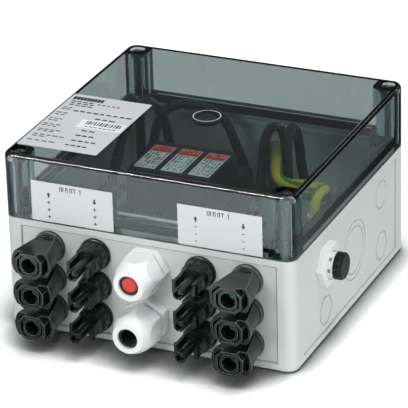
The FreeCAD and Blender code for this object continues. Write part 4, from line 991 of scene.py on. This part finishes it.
namePlate = {
    # places from the plate's middle; x to the right, y to the back
    "heading": {"left": -23.7, "right": -3.5, "y": 33.4, "height": 4.4, "count": 9, "gap": 0.3},
    # left end, right end, y, height of the print, words
    "rows": [
        (-23.2, -7.8, 28.6, 1.3, 4), (-6.1, 9.8, 28.2, 1.3, 5), (-22.8, -6.2, 26.0, 1.3, 4),
        (-22.6, -6.2, 23.2, 1.3, 4), (-24.0, -16.7, 18.6, 1.1, 2), (-24.0, -17.6, 16.2, 1.1, 2),
        (-15.7, 23.1, 15.5, 1.7, 9), (-24.3, -16.1, 10.6, 1.1, 2), (-24.3, -16.7, 7.6, 1.1, 2),
        (1.7, 15.8, 8.2, 1.5, 3), (-24.4, -15.3, 1.6, 1.1, 3), (-24.4, -17.0, -1.2, 1.1, 2),
        (-24.3, -12.2, -7.0, 1.1, 3), (-24.3, -14.0, -9.6, 1.1, 3), (-23.6, -8.7, -15.0, 1.1, 4),
        (-23.6, -12.0, -17.4, 1.1, 3), (-23.4, -2.6, -22.6, 1.2, 5), (-23.4, -14.0, -25.2, 1.1, 2),
        (-23.4, -4.7, -31.0, 1.2, 4), (1.4, 11.2, -9.6, 1.6, 2), (1.1, 13.7, -16.8, 1.6, 3),
        (1.9, 18.6, -24.2, 1.6, 4), (1.4, 16.0, -31.1, 1.6, 4),
    ],
    "patch": (10.2, 0.0, 28.4, 11.4),  # x, y, width, height
    "strokes": {"left": -0.6, "right": 22.6, "y": 1.9, "height": 5.0, "count": 13,
                "widths": (0.8, 1.2, 0.6, 1.0, 0.7, 1.3)},
    "figures": (0.6, 21.4, -3.4, 1.0, 7), "figuresSeed": 50, "wordGap": 0.7, "shortestWord": 0.7,
}


def textRow(row, seed, look):
    left, right, y, height, words = row
    step = (right - left) / words
    block = {"width": step * (words - 1), "height": 0.0, "columns": words, "rows": 1,
             "bar": step - look["wordGap"], "thick": height, "shortest": look["shortestWord"], "fill": 1.0}
    return laid(rowsMesh("textRow", block, seed), (left + right) / 2, y)


def namePlatePrint(look):
    place, above = (onTop("name_plate", layers, plateFilm["thinned"]) for layers in (1, 2))
    meshes = barRow("letter", look["heading"])
    meshes += [textRow(row, seed, look) for seed, row in enumerate(look["rows"])]
    placePrint("name_plate_print", meshes, place, "lid", "label_white", "ink_black")
    patch = [barAt("patch", look["patch"])]
    placePrint("name_plate_patch", patch, place, "lid", "label_white", "paper_white")
    meshes = barRow("stroke", look["strokes"])
    meshes.append(textRow(look["figures"], look["figuresSeed"], look))
    placePrint("name_plate_strokes", meshes, above, "lid", "label_white", "ink_black")


frontLabels = {
    # places from the label's middle; x to the right, y up
    "columnX": (-14.8, 14.5), "rowTop": -0.2, "rowPitch": 4.5,
    "signSize": 2.1, "dashSize": 1.5, "signStroke": 0.5,
    "headingY": 9.4, "strokes": (-7.4, -6.3, -5.4, -3.7, -2.6, -0.9, 0.2, 1.9),
    "strokeWidth": 0.5, "strokeHeight": 2.9,
    "caps": ((-5.85, 1.4), (-3.15, 1.6), (-0.35, 1.6), (1.9, 2.0)),  # x and length of each
    # stems and the flag are shares of the size; wings and the flag's ends, of half the size
    "number": {"at": (5.6, 9.4), "size": 3.0, "stem": 0.09, "flag": 0.24, "flagTop": 0.62, "flagLow": 0.36},
    "arrow": {"y": 4.6, "size": 3.4, "stem": 0.16, "wing": 0.8},
}


def arrowMesh(shape, up):
    half, stem = shape["size"] / 2, shape["size"] * shape["stem"]
    wing = half * shape["wing"]
    points = [(-stem, -half), (stem, -half), (stem, 0), (wing, 0), (0, half), (-wing, 0), (-stem, 0)]
    if not up:
        points = [(-x, -y) for x, y in points]
    return outlineMesh("arrow", points)


def numberMesh(shape):
    stem, flag, half = shape["size"] * shape["stem"], shape["size"] * shape["flag"], shape["size"] / 2
    top, low = half * shape["flagTop"], half * shape["flagLow"]
    points = [(-stem, -half), (stem, -half), (stem, half), (-stem, half), (-flag, top), (-flag, low),
              (-stem, top)]
    return outlineMesh("number", points)


def frontLabelPrint(node, plus, look):
    middle, front = nodeMiddle(node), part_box(node)[0].y
    upright = Matrix.Rotation(math.radians(90), 4, "X")
    place = Matrix.Translation((middle.x, front - ink["lift"] * mm, middle.z)) @ upright
    y, width, height = look["headingY"], look["strokeWidth"], look["strokeHeight"]
    meshes = [laid(barMesh("stroke", width, height), x, y) for x in look["strokes"]]
    top = y + (height - width) / 2
    meshes += [laid(barMesh("cap", length, width), x, top) for x, length in look["caps"]]
    meshes.append(laid(numberMesh(look["number"]), *look["number"]["at"]))
    size, dash, stroke = look["signSize"], look["dashSize"], look["signStroke"]
    sign = ((size, stroke), (stroke, size)) if plus else ((dash, stroke),)
    for x, inward in zip(look["columnX"], (True, False)):
        meshes.append(laid(arrowMesh(look["arrow"], inward), x, look["arrow"]["y"]))
        for row in range(3):
            y = look["rowTop"] - row * look["rowPitch"]
            meshes += [laid(barMesh("sign", *bar), x, y) for bar in sign]
    placePrint(node + "_print", meshes, place, "lid", "label_white", "ink_black")


surgeLabels = {
    # places from the label's middle; x to the right, y to the back; bars are x, y, width, height
    "stripe": (0.0, 11.9, 13.0, 8.4),
    "stripeRows": {"at": (0.0, 13.4), "width": 9.6, "height": 3.2, "columns": 5, "rows": 3, "bar": 1.9,
                   "thick": 0.55, "shortest": 0.3, "fill": 0.8},
    "blocks": [
        {"at": (0.0, 1.2), "width": 10.4, "height": 10.4, "columns": 6, "rows": 9, "bar": 1.7, "thick": 0.95,
         "shortest": 0.3, "fill": 0.7},
        {"at": (-1.6, -8.0), "width": 7.2, "height": 3.6, "columns": 4, "rows": 4, "bar": 1.7, "thick": 0.75,
         "shortest": 0.3, "fill": 0.7},
        {"at": (0.0, -13.2), "width": 10.4, "height": 2.4, "columns": 6, "rows": 3, "bar": 1.6, "thick": 0.7,
         "shortest": 0.3, "fill": 0.72},
    ],
    "frames": [(4.6, -6.4, 3.0, 0.4), (4.6, -9.6, 3.0, 0.4), (3.3, -8.0, 0.4, 3.4), (5.9, -8.0, 0.4, 3.4)],
    "seedsPerModule": 10, "stripeSeed": 5,
}


def surgeLabelPrint(node, module, look):
    place, above = (onTop(node, layers) for layers in (1, 2))
    body = bodyOfNode[node]
    seed = module * look["seedsPerModule"]
    meshes = [barAt("frameBar", bar) for bar in look["frames"]]
    for k, block in enumerate(look["blocks"]):
        meshes.append(laid(rowsMesh("moduleRows", block, seed + k), *block["at"]))
    placePrint(node + "_print", meshes, place, body, "surge_label", "ink_black")
    stripe = [barAt("stripe", look["stripe"])]
    placePrint(node + "_stripe", stripe, place, body, "surge_label", "ink_red")
    block = look["stripeRows"]
    meshes = [laid(rowsMesh("stripeRows", block, seed + look["stripeSeed"]), *block["at"])]
    placePrint(node + "_stripe_print", meshes, above, body, "surge_label", "paper_white")


namePlatePrint(namePlate)
# a thin white ring painted as the highlight on the gate mark's rim
gateHighlightRing = {"inner": 8.0, "outer": 8.4, "steps": 96}  # the bright rim round the gate mark in the roof's middle
roof = Matrix.Translation((0, 0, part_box("lid")[1].z))
placePrint("gate_rim_highlight", [ringMesh("gateHighlightRing", **gateHighlightRing)], roof, "lid", "label_white", "paper_white")
frontLabelPrint("label_plus", True, frontLabels)
frontLabelPrint("label_minus", False, frontLabels)
for k in (1, 2, 3):
    surgeLabelPrint("surge_label_" + str(k), k, surgeLabels)
print("labels printed")
